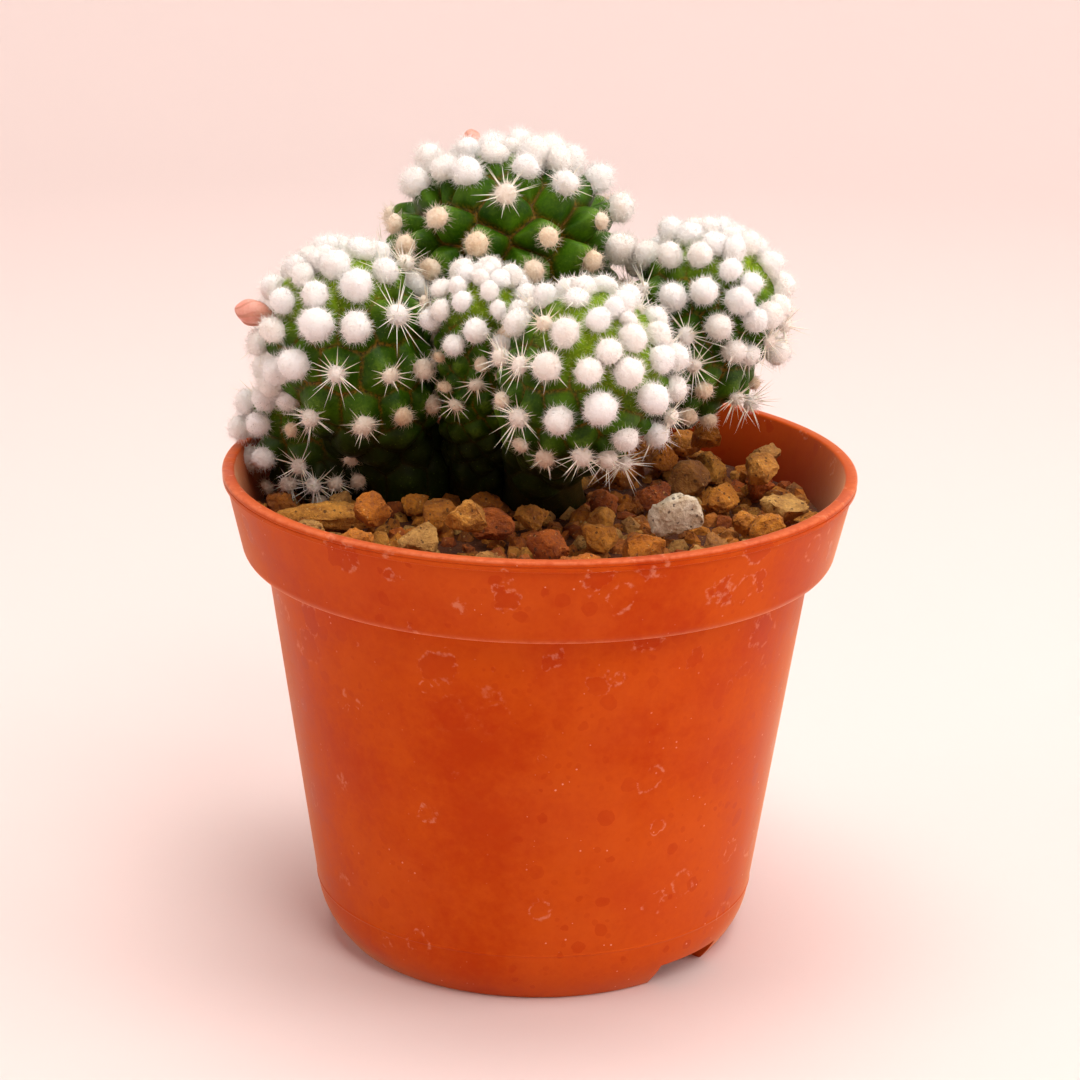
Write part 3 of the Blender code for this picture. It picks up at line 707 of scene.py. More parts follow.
# Each stem: foot (x, y) in the mix, head (x, y, over the rim), and its sizes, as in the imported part.
# In mm: pitch is between tubercles, creaseDepth how deep the skin folds between them, wool how broad
# a tuft is, limeReach how far from the crown the skin stays lime, down how far tufts grow, and
# bareBelow where the wool stops. starShare is how many of the lower tufts have spines. plump makes
# rounder tubercles. faceTufts lie on the side that faces -Y: (degrees round the stem, mm down from
# the crown, mm proud of the skin, kind).
stems = {
    "back_stem": {
        "foot": (-0.0040, 0.0240), "head": (-0.0057, 0.0220, 0.0275), "neck": 0.0105,
        "radius": 0.0170, "cap": 0.0126, "belly": 0.0260, "lean": (-0.02, 0.02, 1.0),
        "pitch": 7.4, "creaseDepth": 4.4, "plump": 0.85, "wool": 5.2,
        "limeReach": 5, "down": 46, "starShare": 0.3,
        "faceTufts": [
            (272, 13.6, 1.2, "s"), (234, 17.6, 0.6, "o"), (258, 20.7, 0.6, "o"), (292, 20.0, 0.6, "o"),
            (284, 24.4, 0.6, "o"), (316, 24.1, 0.6, "o"), (328, 19.0, 0.6, "o"), (314, 12.8, 1.2, "v"),
            (238, 9.6, 1.0, "w"), (250, 3.5, 1.0, "w"), (292, 8.3, 1.0, "w"), (340, 8.2, 1.0, "w"),
            (0, 13.9, 1.0, "w"), (168, 10.8, 1.4, "w"), (184, 5.0, 1.0, "w"), (196, 13.6, 1.0, "w"),
            (202, 20.0, 0.6, "o"), (234, 24.6, 0.6, "o"), (354, 18.6, 1.0, "w"), (338, 23.4, 1.0, "w"),
        ],
    },
    "left_stem": {
        "foot": (-0.0175, 0.0150), "head": (-0.0274, 0.0030, 0.0170), "neck": 0.0072,
        "radius": 0.0116, "cap": 0.0122, "belly": 0.0150, "lean": (-0.30, -0.10, 0.9),
        "pitch": 5.6, "creaseDepth": 1.7, "wool": 4.7,
        "limeReach": 12, "down": 44, "starShare": 0.35, "bareBelow": 26,
        "faceTufts": [
            (76, 3.3, 1.0, "w"), (16, 5.8, 1.0, "w"), (304, 4.3, 1.0, "w"), (304, 8.9, 1.0, "w"),
            (342, 9.5, 1.0, "v"), (18, 12.0, 1.6, "s"), (318, 14.9, 1.4, "S"), (262, 12.0, 1.4, "W"),
            (288, 13.9, 1.0, "w"), (224, 8.3, 1.0, "w"), (264, 8.0, 1.0, "w"), (220, 12.2, 1.0, "w"),
            (238, 16.5, 1.0, "w"), (188, 15.2, 1.0, "w"), (266, 18.7, 1.5, "s"), (298, 21.3, 1.3, "t"),
            (324, 23.1, 1.0, "t"), (196, 20.6, 1.0, "w"), (238, 23.7, 1.2, "s"), (272, 26.0, 1.0, "t"),
            (300, 27.2, 0.6, "o"), (328, 28.8, 0.6, "o"), (170, 8.0, 1.0, "w"), (240, 4.3, 1.0, "w"),
        ],
    },
    "middle_stem": {
        "foot": (-0.0085, 0.0145), "head": (-0.0083, -0.0030, 0.0215), "neck": 0.0056,
        "radius": 0.0066, "cap": 0.0066, "belly": 0.0200, "lean": (0.02, -0.20, 1.0),
        "pitch": 3.7, "creaseDepth": 1.1, "wool": 3.5,
        "limeReach": 9, "down": 36, "starShare": 0.2, "bareBelow": 11,
        "faceTufts": [
            (142, 3.6, 1.0, "w"), (78, 3.1, 1.0, "w"), (6, 3.3, 1.0, "w"), (214, 4.0, 1.0, "w"),
            (186, 5.7, 1.0, "w"), (262, 1.7, 1.0, "w"), (282, 3.8, 1.0, "w"), (240, 5.5, 1.0, "w"),
            (290, 6.2, 1.0, "w"), (348, 5.9, 1.0, "w"), (320, 6.9, 1.0, "w"), (264, 8.8, 1.0, "w"),
            (240, 11.1, 1.0, "w"), (294, 10.4, 1.0, "w"), (216, 13.9, 0.6, "o"), (212, 7.6, 1.0, "w"),
            (174, 8.6, 1.9, "t"), (226, 17.8, 0.6, "o"), (270, 13.2, 0.6, "o"), (266, 15.9, 1.0, "t"),
            (242, 19.6, 1.0, "t"), (296, 15.2, 0.6, "o"),
        ],
    },
    "front_stem": {
        "foot": (0.0010, 0.0140), "head": (0.0061, -0.0130, 0.0166), "neck": 0.0066,
        "radius": 0.0113, "cap": 0.0113, "belly": 0.0130, "lean": (0.38, -0.50, 0.8),
        "pitch": 5.2, "creaseDepth": 1.6, "wool": 4.5,
        "limeReach": 12, "down": 40, "starShare": 0.45, "bareBelow": 22,
        "faceTufts": [
            (152, 6.5, 1.0, "v"), (82, 3.0, 1.0, "w"), (204, 3.3, 1.0, "w"), (204, 7.7, 1.0, "w"),
            (184, 10.1, 1.0, "t"), (304, 3.0, 1.0, "w"), (256, 5.6, 1.0, "w"), (6, 5.9, 1.0, "w"),
            (338, 7.4, 1.0, "w"), (248, 8.9, 1.0, "w"), (286, 7.4, 1.0, "w"), (220, 11.8, 1.0, "v"),
            (204, 14.8, 1.2, "s"), (268, 12.4, 1.4, "W"), (310, 10.9, 1.4, "W"), (352, 14.2, 1.0, "w"),
            (224, 19.9, 1.2, "s"), (248, 16.3, 1.0, "w"), (296, 16.6, 1.0, "w"), (332, 19.2, 1.2, "v"),
            (340, 16.6, 1.6, "s"), (272, 19.9, 1.2, "s"), (252, 22.7, 1.0, "t"), (232, 24.1, 0.6, "o"),
            (308, 22.7, 1.2, "s"),
        ],
    },
    "low_left_stem": {
        "foot": (-0.0262, 0.0130), "head": (-0.0330, 0.0090, 0.0045), "neck": 0.0050,
        "radius": 0.0090, "cap": 0.0080, "belly": 0.0120, "lean": (-0.28, -0.10, 0.9),
        "pitch": 4.9, "creaseDepth": 1.4, "wool": 4.0,
        "limeReach": 10, "down": 30, "starShare": 0.4,
        "faceTufts": [
            (226, 10.8, 1.0, "w"), (190, 12.3, 1.7, "w"), (220, 15.5, 1.0, "w"), (194, 16.4, 1.9, "w"),
            (200, 20.5, 1.8, "o"), (256, 16.8, 1.2, "s"), (262, 20.1, 1.2, "s"), (280, 20.9, 1.0, "t"),
            (258, 11.7, 0.6, "o"), (302, 18.3, 0.6, "o"), (302, 22.3, 0.6, "o"), (186, 9.1, 1.0, "w"),
            (232, 7.4, 1.0, "w"),
        ],
    },
    "right_stem": {
        "foot": (0.0010, 0.0205, 0.0060), "sprout": (0.90, -0.25, -0.10),
        "head": (0.0232, 0.0140, 0.0190), "neck": 0.0060,
        "radius": 0.0108, "cap": 0.0112, "belly": 0.0160, "lean": (0.28, 0.05, 0.95),
        "pitch": 4.9, "creaseDepth": 1.6, "wool": 4.2,
        "limeReach": 11, "down": 34, "starShare": 0.4, "bareBelow": 26,
        "faceTufts": [
            (216, 10.0, 1.0, "w"), (242, 8.0, 1.0, "w"), (198, 5.4, 1.0, "w"), (166, 7.7, 1.3, "w"),
            (240, 14.9, 1.0, "w"), (260, 12.9, 1.4, "W"), (276, 8.8, 1.0, "w"), (288, 12.6, 1.0, "w"),
            (278, 16.7, 1.0, "w"), (304, 14.6, 1.0, "w"), (318, 13.8, 1.0, "w"), (298, 10.0, 1.0, "w"),
            (278, 5.1, 1.0, "w"), (248, 5.1, 1.0, "w"), (182, 11.7, 1.0, "w"), (214, 15.5, 1.2, "s"),
            (258, 18.8, 1.2, "s"), (270, 21.7, 1.2, "s"), (286, 23.8, 0.6, "o"), (294, 18.8, 1.0, "v"),
            (308, 18.9, 1.0, "v"), (346, 18.6, 1.4, "w"), (316, 23.4, 1.2, "s"), (340, 23.8, 1.9, "s"),
            (268, 25.0, 0.6, "o"), (290, 27.4, 0.6, "o"), (314, 27.0, 0.6, "o"),
        ],
    },
}

# Each kind of tuft: its breadth over the stem's wool, height over breadth, age (0 white, 1 cream),
# number and length in mm of its spines, and the angle they spread to
tuftKinds = {
    "W": {"breadth": 1.14, "tall": 0.95, "age": 0.0, "spines": 0, "length": 0, "spread": 0},
    "w": {"breadth": 0.96, "tall": 0.95, "age": 0.05, "spines": 0, "length": 0, "spread": 0},
    "v": {"breadth": 0.92, "tall": 0.9, "age": 0.1, "spines": 10, "length": 3.9, "spread": 84},
    "s": {"breadth": 0.62, "tall": 0.85, "age": 0.25, "spines": 18, "length": 4.5, "spread": 86},
    "S": {"breadth": 0.66, "tall": 0.85, "age": 0.05, "spines": 22, "length": 5.9, "spread": 88},
    "t": {"breadth": 0.62, "tall": 0.8, "age": 0.55, "spines": 12, "length": 3.0, "spread": 84},
    "o": {"breadth": 0.64, "tall": 0.8, "age": 0.75, "spines": 0, "length": 0, "spread": 0},
    "b": {"breadth": 0, "tall": 0, "age": 1, "spines": 0, "length": 0, "spread": 0},  # bare
}
growth = {
    "stiffness": 0.45,
    "fullness": 0.7,
    "plump": 0.72,
    "goldenAngle": math.pi * (3 - math.sqrt(5)),
    "rowPitch": 0.42,  # mm between rows of the skin
    "youngPitch": 0.44,  # of the full pitch, right at the crown
    "darkBelow": 9.5,  # mm over the rim where painted shade starts to darken the skin toward the foot
    "darkFade": 8,
    "shadeFromCrown": 12,  # mm from the crown where the painted shade toward the foot starts
    "elbowRoom": 0.66,  # of the pitch, kept between tufts
}


def softStep(value):
    value = np.clip(value, 0, 1)
    return value * value * (3 - 2 * value)


# A stem as rings from its crown down to its foot, with its skin as a grid of points
class StemLine:
    def __init__(self, name):
        spec = stems[name]
        self.name, self.spec = name, spec
        self.lean = Vector(spec["lean"]).normalized()
        self.head = Vector(spec["head"]) + Vector((0, 0, rim))
        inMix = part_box(name)[0].z - rim
        self.foot = Vector((*spec["foot"], inMix)[:3]) + Vector((0, 0, rim))
        sprout = Vector(spec.get("sprout", (0, 0, 1))).normalized()
        reach = (self.head - self.foot).length * growth["stiffness"]
        self.controls = (self.foot, self.foot + sprout * reach, self.head - self.lean * reach, self.head)
        line = [self.point(step / 40) for step in range(41)]
        self.trunk = sum((b - a).length for a, b in zip(line, line[1:]))
        self.layRings()

    def point(self, t):
        a, b, c, d = self.controls
        s = 1 - t
        return a * s**3 + b * 3 * s * s * t + c * 3 * s * t * t + d * t**3

    def way(self, t):
        a, b, c, d = self.controls
        s = 1 - t
        return ((b - a) * s * s + (c - b) * 2 * s * t + (d - c) * t * t).normalized()

    def girth(self, t):
        spec = self.spec
        down = min((1 - t) * self.trunk / spec["belly"], 1)
        return spec["neck"] + (spec["radius"] - spec["neck"]) * (1 - down**2) ** growth["fullness"]

    def layRings(self):
        spec = self.spec
        pitch = growth["rowPitch"] * mm
        capRings = round(math.pi / 2 * spec["radius"] / pitch)
        trunkRings = round(self.trunk / pitch)
        around = 4 * round(math.tau * spec["radius"] / pitch / 4)
        rings = []
        for ring in range(capRings):
            tilt = math.pi / 2 * (1 - (ring + 0.5) / capRings)
            rings.append((self.head + self.lean * spec["cap"] * math.sin(tilt), self.lean,
                          spec["radius"] * math.cos(tilt)))
        for ring in range(trunkRings + 1):
            t = 1 - ring / trunkRings
            rings.append((self.point(t), self.way(t), self.girth(t)))
        grid = np.zeros((len(rings), around, 3))
        angles = math.tau * np.arange(around) / around
        for row, (centre, way, radius) in enumerate(rings):
            side = (Vector((1, 0, 0)) - way * way.x).normalized()
            front = np.array(way.cross(side))
            grid[row] = np.array(centre) + radius * (
                np.cos(angles)[:, None] * np.array(side) + np.sin(angles)[:, None] * front)
        across = np.roll(grid, -1, 1) - np.roll(grid, 1, 1)
        fall = np.gradient(grid, axis=0)
        normals = np.cross(fall, across)
        normals /= np.maximum(np.linalg.norm(normals, axis=2, keepdims=True), 1e-12)
        centres = np.array([ring[0] for ring in rings])[:, None, :]
        outward = np.sign(((grid - centres) * normals).sum((1, 2)))
        normals *= np.where(outward < 0, -1, 1)[:, None, None]
        self.rings, self.around = rings, around
        self.grid, self.normals = grid, normals
        steps = np.linalg.norm(np.diff(grid, axis=0), axis=2).mean(1)
        crown = np.linalg.norm(grid[0] - np.array(self.head + self.lean * spec["cap"]), axis=1).mean()
        self.down = np.concatenate([[crown], crown + np.cumsum(steps)])
        self.radii = np.array([ring[2] for ring in rings])

    # The point and normal of the skin at a place given round the stem and down from its crown
    def at(self, degrees, down):
        row = float(np.interp(down * mm, self.down, np.arange(len(self.down))))
        column = degrees / 360 * self.around
        low, part = int(row), row - int(row)
        high = min(low + 1, len(self.down) - 1)
        c0, c1, cpart = int(column) % self.around, (int(column) + 1) % self.around, column - int(column)

        def mixed(grid):
            a = grid[low, c0] * (1 - cpart) + grid[low, c1] * cpart
            b = grid[high, c0] * (1 - cpart) + grid[high, c1] * cpart
            return a * (1 - part) + b * part

        normal = mixed(self.normals)
        return mixed(self.grid), normal / np.linalg.norm(normal)


# The chosen tufts first, then the rest in a golden-angle spiral wherever there is room
def growTufts(stem, rng):
    spec = stem.spec
    tufts = []
    for degrees, down, lift, kind in spec["faceTufts"]:
        place, normal = stem.at(degrees, down)
        tufts.append({"place": place, "normal": normal, "lift": lift, "kind": kind, "down": down})
    pitch = spec["pitch"]
    downs = stem.down / mm
    pitches = pitch * (growth["youngPitch"] + (1 - growth["youngPitch"]) * softStep(downs / (1.9 * pitch)))
    perStep = math.tau * stem.radii / mm / pitches**2 * np.gradient(downs)
    counted = np.cumsum(perStep)
    total = int(np.interp(spec["down"], downs, counted))
    for number in range(total):
        down = float(np.interp(number + 0.5, counted, downs))
        degrees = math.degrees(number * growth["goldenAngle"]) % 360
        place, normal = stem.at(degrees, down)
        room = float(np.interp(down, downs, pitches)) * growth["elbowRoom"] * mm
        if any(np.linalg.norm(place - tuft["place"]) < room for tuft in tufts):
            continue
        if place[2] < bedTop + 1.5 * mm:
            continue
        ageing = down / spec["down"]
        if down > spec.get("bareBelow", 99):
            tufts.append({"place": place, "normal": normal, "lift": 0.4, "kind": "b", "down": down})
            continue
        if ageing < 0.30:
            kind, lift = ("w", 1.0)
        elif rng.random() < spec["starShare"]:
            kind, lift = ("s" if ageing < 0.6 else "t", 1.1)
        else:
            kind, lift = ("w" if ageing < 0.42 else "o", 0.8)
        tufts.append({"place": place, "normal": normal, "lift": lift, "kind": kind, "down": down})
    return tufts


# The skin, raised into a tubercle under each tuft and folded between them
def makeSkinMesh(stem, tufts):
    spec = stem.spec
    tree = kdtree.KDTree(len(tufts))
    for index, tuft in enumerate(tufts):
        tree.insert(tuft["place"], index)
    tree.balance()
    rows = len(stem.rings)
    crease = spec["creaseDepth"] * mm
    plump = spec.get("plump", growth["plump"])
    reach = spec["pitch"] * 0.62 * mm
    fade = softStep((stem.grid[:, :, 2] - (bedTop - 2 * mm)) / (6 * mm))
    narrow = np.minimum(1, stem.radii / spec["radius"])[:, None]
    rise = np.zeros((rows, stem.around))
    lift = np.zeros((rows, stem.around))
    for row in range(rows):
        for column in range(stem.around):
            here = stem.grid[row, column]
            near = tree.find_n(here, 4)
            first, away = near[0][0], near[0][2]
            edge = reach
            for other, index, distance in near[1:]:
                between = (other - first).length
                edge = min(edge, (distance**2 - away**2) / (2 * between + 1e-9))
            edge = min(edge, max(reach * 1.5 - away, 0))
            share = edge / (edge + away + 1e-9)
            rise[row, column] = (1 - (1 - share) ** 2.2) ** plump
            lift[row, column] = tufts[near[0][1]]["lift"] * mm * max(0.0, 1 - (away / (0.55 * reach)) ** 2)
    depth = crease * fade * narrow
    points = stem.grid + stem.normals * ((rise - 1) * depth + lift * 0.55)[:, :, None]
    crownDirection = np.array([-np.array(ring[1]) for ring in stem.rings])[:, None, :]
    points -= crownDirection * (rise**2 * depth * 0.22)[:, :, None]
    young = 1 - softStep((stem.down / mm - spec["limeReach"] * 0.35) / spec["limeReach"])
    vertices = points.reshape(-1, 3).tolist()
    faces = []
    for row in range(rows - 1):
        for column in range(stem.around):
            right = (column + 1) % stem.around
            faces.append((row * stem.around + column, (row + 1) * stem.around + column,
                          (row + 1) * stem.around + right, row * stem.around + right))
    crown, foot = len(vertices), len(vertices) + 1
    vertices += [np.mean(points[0], 0).tolist(), np.mean(points[-1], 0).tolist()]
    for column in range(stem.around):
        right = (column + 1) % stem.around
        faces.append((crown, column, right))
        last = (rows - 1) * stem.around
        faces.append((foot, last + right, last + column))
    mesh = bpy.data.meshes.new(stem.name + "_skin")
    mesh.from_pydata(vertices, [], faces)
    bm = bmesh.new()
    bm.from_mesh(mesh)
    bmesh.ops.recalc_face_normals(bm, faces=bm.faces)
    bm.to_mesh(mesh)
    bm.free()
    young = np.repeat(young[:, None], stem.around, 1)
    # painted shade: skin low over the rim and far from the crown is marked to darken, standing in for the
    # shadow under the heads
    low = softStep((rim + growth["darkBelow"] * mm - stem.grid[:, :, 2]) / (growth["darkFade"] * mm))
    paintedFootShade = low * softStep((stem.down / mm - growth["shadeFromCrown"]) / growth["darkFade"])[:, None]
    for label, values in (("rise", rise), ("young", young), ("paintedFootShade", paintedFootShade)):
        setAttribute(mesh, label, np.concatenate([values.ravel(), [values[0].mean(), values[-1].mean()]]))
    mesh.shade_smooth()
    return mesh


def namedValue(tree, name, kind="FLOAT"):
    node = add(tree, "GeometryNodeInputNamedAttribute", {"Name": name}, data_type=kind)
    return next(s for s in node.outputs if s.enabled and s.name == "Attribute")


# A rotation that points Z along a direction, with a random twist about it
def aimed(tree, direction, seed):
    facing = add(tree, "FunctionNodeAlignRotationToVector", {"Vector": direction}, axis="Z")
    twist = add(tree, "FunctionNodeRandomValue", {"Max": math.tau, "Seed": seed}, data_type="FLOAT")
    spin = add(tree, "ShaderNodeCombineXYZ", {"Z": twist})
    return add(tree, "FunctionNodeRotateRotation", {"Rotation": facing, "Rotate By": spin},
               rotation_space="LOCAL")


# A closed tapering spike on each point
def spikes(tree, points, direction, radius, length, seed, sides=3):
    cone = add(tree, "GeometryNodeMeshCone", {
        "Vertices": sides, "Radius Top": 0.0, "Radius Bottom": radius, "Depth": 1.0}, fill_type="NGON")
    scale = add(tree, "ShaderNodeCombineXYZ", {"X": 1.0, "Y": 1.0, "Z": length})
    onPoints = add(tree, "GeometryNodeInstanceOnPoints", {
        "Points": points, "Instance": cone.outputs["Mesh"], "Rotation": aimed(tree, direction, seed),
        "Scale": scale})
    return add(tree, "GeometryNodeRealizeInstances", {0: onPoints})


# Points on a surface, each with a direction near its normal
def strewn(tree, surface, density, seed, tangle, selection=True):
    sown = add(tree, "GeometryNodeDistributePointsOnFaces", {
        "Mesh": surface, "Selection": selection, "Density": density, "Seed": seed})
    lean = add(tree, "FunctionNodeRandomValue", {
        "Min": (-1, -1, -1), "Max": (1, 1, 1), "Seed": seed}, data_type="FLOAT_VECTOR")
    bent = add(tree, "ShaderNodeVectorMath", {0: lean.outputs[0], "Scale": tangle}, operation="SCALE")
    way = add(tree, "ShaderNodeVectorMath", {0: sown.outputs["Normal"], 1: bent}, operation="ADD")
    return sown.outputs["Points"], way


# The down of the wool tufts
fleece = {
    "hairDensity": 1.1e7,  # to the square metre
    "hairLength": 1.1 * mm,
    "hairRadius": 0.038 * mm,
    "hairSpread": (0.35, 1.25),  # of that length
    "tangle": 0.95,
    "lump": 1.3 * mm,
    "lumpScale": 330.0,
    "crownShare": 0.72,  # how broad tufts are at the crown, of their full breadth
    "breadthSpread": (0.80, 1.05),
    "heightSpread": (0.85, 1.2),
}


# A lumpy ball of down on each point, bristling with fine hairs
def makeWoolTree():
    tree, start, end = newGroup("woolTufts", "GeometryNodeTree", [
        ("Geometry", "NodeSocketGeometry", None),
        ("Hair Density", "NodeSocketFloat", fleece["hairDensity"]),
        ("Hair Length", "NodeSocketFloat", fleece["hairLength"]),
        ("Hair Radius", "NodeSocketFloat", fleece["hairRadius"]),
        ("Lump", "NodeSocketFloat", fleece["lump"]), ("Seed", "NodeSocketInt", 0),
        ("Material", "NodeSocketMaterial", None),
    ], [("Geometry", "NodeSocketGeometry")])
    tree.is_modifier = True
    ball = add(tree, "GeometryNodeMeshUVSphere", {"Segments": 8, "Rings": 6, "Radius": 0.5})
    breadth, tall = namedValue(tree, "breadth"), namedValue(tree, "tall")
    scale = add(tree, "ShaderNodeCombineXYZ", {
        "X": breadth, "Y": breadth, "Z": times(tree, breadth, tall)})
    balls = add(tree, "GeometryNodeInstanceOnPoints", {
        "Points": start.outputs["Geometry"], "Instance": ball.outputs["Mesh"],
        "Rotation": aimed(tree, namedValue(tree, "aim", "FLOAT_VECTOR"), start.outputs["Seed"]),
        "Scale": scale})
    loose = add(tree, "GeometryNodeRealizeInstances", {0: balls})
    lumps = add(tree, "ShaderNodeTexNoise", {"Scale": fleece["lumpScale"], "Detail": 2.0})
    centred = add(tree, "ShaderNodeVectorMath", {0: lumps.outputs["Color"], 1: (0.5, 0.5, 0.5)},
                  operation="SUBTRACT")
    shift = add(tree, "ShaderNodeVectorMath", {0: centred, "Scale": start.outputs["Lump"]},
                operation="SCALE")
    lumpy = add(tree, "GeometryNodeSetPosition", {"Geometry": loose, "Offset": shift})
    rounded = add(tree, "GeometryNodeSetShadeSmooth", {0: lumpy})
    places, way = strewn(tree, rounded, start.outputs["Hair Density"], start.outputs["Seed"],
                         fleece["tangle"])
    shortest, longest = fleece["hairSpread"]
    length = add(tree, "FunctionNodeRandomValue", {"Min": shortest, "Max": longest, "Seed": 5},
                 data_type="FLOAT")
    hairs = spikes(tree, places, way, start.outputs["Hair Radius"],
                   times(tree, length, start.outputs["Hair Length"]), 9)
    joined = add(tree, "GeometryNodeJoinGeometry")
    tree.links.new(hairs.outputs[0], joined.inputs[0])
    tree.links.new(rounded.outputs[0], joined.inputs[0])
    painted = add(tree, "GeometryNodeSetMaterial", {
        "Geometry": joined, "Material": start.outputs["Material"]})
    feed(tree, end.inputs["Geometry"], painted)
    return tree


needles = {
    "radius": 0.12 * mm,
    "sides": 4,
    "lengthSpread": (0.7, 1.12),
    "centralEvery": 4,  # every fourth spine stands up more than the rest
    "centralTilt": (0.30, 0.6),  # of the kind's spread
    "outerTilt": (0.72, 1.0),
}


# A spine on each point, along its aim
def makeSpineTree():
    tree, start, end = newGroup("spines", "GeometryNodeTree", [
        ("Geometry", "NodeSocketGeometry", None), ("Radius", "NodeSocketFloat", needles["radius"]),
        ("Seed", "NodeSocketInt", 0), ("Material", "NodeSocketMaterial", None),
    ], [("Geometry", "NodeSocketGeometry")])
    tree.is_modifier = True
    made = spikes(tree, start.outputs["Geometry"], namedValue(tree, "aim", "FLOAT_VECTOR"),
                  start.outputs["Radius"], namedValue(tree, "length"), start.outputs["Seed"],
                  needles["sides"])
    painted = add(tree, "GeometryNodeSetMaterial", {
        "Geometry": made, "Material": start.outputs["Material"]})
    feed(tree, end.inputs["Geometry"], painted)
    return tree


# Short hairs between the tufts, where the skin is young
def makeFuzzTree():
    tree, start, end = newGroup("crownFuzz", "GeometryNodeTree", [
        ("Geometry", "NodeSocketGeometry", None), ("Density", "NodeSocketFloat", 6.0e6),
        ("Length", "NodeSocketFloat", 0.7 * mm), ("Radius", "NodeSocketFloat", 0.028 * mm),
        ("Seed", "NodeSocketInt", 0), ("Material", "NodeSocketMaterial", None),
    ], [("Geometry", "NodeSocketGeometry")])
    tree.is_modifier = True
    young = namedValue(tree, "young")
    density = times(tree, sums(tree, "POWER", young, 1.5), start.outputs["Density"])
    places, way = strewn(tree, start.outputs["Geometry"], density, start.outputs["Seed"], 0.8)
    length = add(tree, "FunctionNodeRandomValue", {"Min": 0.4, "Max": 1.2, "Seed": 3}, data_type="FLOAT")
    made = spikes(tree, places, way, start.outputs["Radius"],
                  times(tree, length, start.outputs["Length"]), 11)
    painted = add(tree, "GeometryNodeSetMaterial", {
        "Geometry": made, "Material": start.outputs["Material"]})
    feed(tree, end.inputs["Geometry"], painted)
    return tree


def makeWool(stem, tufts, rng, tree, finish, number):
    places, aims, breadths, talls, ages = [], [], [], [], []
    crowd = math.sqrt(stem.spec["pitch"] / 6)
    for tuft in tufts:
        kind = tuftKinds[tuft["kind"]]
        if not kind["breadth"]:
            continue
        grown = float(softStep(tuft["down"] / (0.9 * stem.spec["pitch"])))
        closeness = fleece["crownShare"] + (1 - fleece["crownShare"]) * grown
        breadth = stem.spec["wool"] * kind["breadth"] * rng.uniform(*fleece["breadthSpread"])
        breadth *= mm * closeness
        places.append(tuft["place"] + tuft["normal"] * tuft["lift"] * mm)
        aims.append(tuft["normal"])
        breadths.append(breadth)
        talls.append(kind["tall"] * rng.uniform(*fleece["heightSpread"]))
        ages.append(min(1, max(0, kind["age"] + rng.uniform(-0.08, 0.12))))
        tuft["breadth"] = breadth
    name = stem.name + "_wool"
    wool = makeObject(name, pointMesh(name, places, aims, breadth=breadths, tall=talls, age=ages))
    runTree(tree, wool, {"Seed": number, "Material": finish, "Hair Length": fleece["hairLength"] * crowd})
    keepPiece(wool, "wool")


def makeSpines(stem, tufts, rng, tree, finish, number):
    places, aims, lengths, ages = [], [], [], []
    for tuft in tufts:
        kind = tuftKinds[tuft["kind"]]
        normal = Vector(tuft["normal"])
        side = normal.orthogonal().normalized()
        turned = rng.uniform(0, math.tau)
        for spine in range(kind["spines"]):
            around = turned + spine * growth["goldenAngle"] + rng.uniform(-0.2, 0.2)
            tilts = needles["outerTilt" if spine % needles["centralEvery"] else "centralTilt"]
            tilt = math.radians(kind["spread"]) * rng.uniform(*tilts)
            ringWay = Quaternion(normal, around) @ side
            aim = normal * math.cos(tilt) + ringWay * math.sin(tilt)
            length = kind["length"] * mm * rng.uniform(*needles["lengthSpread"])
            root = Vector(tuft["place"]) + normal * (tuft["lift"] * mm * 0.8)
            places.append(root + aim * tuft["breadth"] * 0.12)
            aims.append(aim)
            lengths.append(length + tuft["breadth"] * 0.15)
            ages.append(min(1, kind["age"] * 0.6 + rng.uniform(0, 0.3)))
    if not places:
        return
    name = stem.name + "_spines"
    spines = makeObject(name, pointMesh(name, places, aims, length=lengths, age=ages))
    runTree(tree, spines, {"Seed": number, "Material": finish})
    keepPiece(spines, "spine")


def makeFuzz(stem, skin, tree, finish, number):
    name = stem.name + "_fuzz"
    fuzz = makeObject(name, skin.data.copy())
    runTree(tree, fuzz, {"Seed": number, "Material": finish})
    keepPiece(fuzz, "cactus_skin")


def makePlant():
    rng = random.Random(11)
    wool, spine, fuzzFinish = makeWoolFinish(), makeSpineFinish(), makeFuzzFinish()
    darkSkin = makeSkin("deep green skin", (0.012, 0.050, 0.0005, 1), (0.062, 0.155, 0.002, 1),
                        (0.15, 0.30, 0.004, 1))
    freshSkin = makeSkin("fresh green skin", (0.012, 0.048, 0.0006, 1), (0.055, 0.140, 0.002, 1),
                         (0.24, 0.38, 0.006, 1))
    woolTree, spineTree, fuzzTree = makeWoolTree(), makeSpineTree(), makeFuzzTree()
    lines = {}
    for number, name in enumerate(stems):
        stem = StemLine(name)
        tufts = growTufts(stem, rng)
        skin = makeObject(name + "_skin", makeSkinMesh(stem, tufts))
        skin.data.materials.append(darkSkin if name == "back_stem" else freshSkin)
        keepPiece(skin, "cactus_skin", name)
        makeWool(stem, tufts, rng, woolTree, wool, number)
        makeSpines(stem, tufts, rng, spineTree, spine, number)
        makeFuzz(stem, skin, fuzzTree, fuzzFinish, number)
        lines[name] = stem
        print(f"{name}: {len(tufts)} tufts, {len(skin.data.polygons)} faces of skin")
    return lines


buds = {
    "left_bud": {"stem": "left_stem", "out": (-0.97, -0.05, 0.26)},
    "top_bud": {"stem": "back_stem", "out": (-0.27, 0.55, 0.80)},
}
budShape = {
    "length": 6.2 * mm,
    "radius": 2.1 * mm,
    "seat": 1.4 * mm,
    "petals": 5,
    "twist": 0.9,  # turns of the overlaps from seat to tip
    "overlap": 0.16,  # of the radius
    "rings": 44,
    "facets": 70,
}


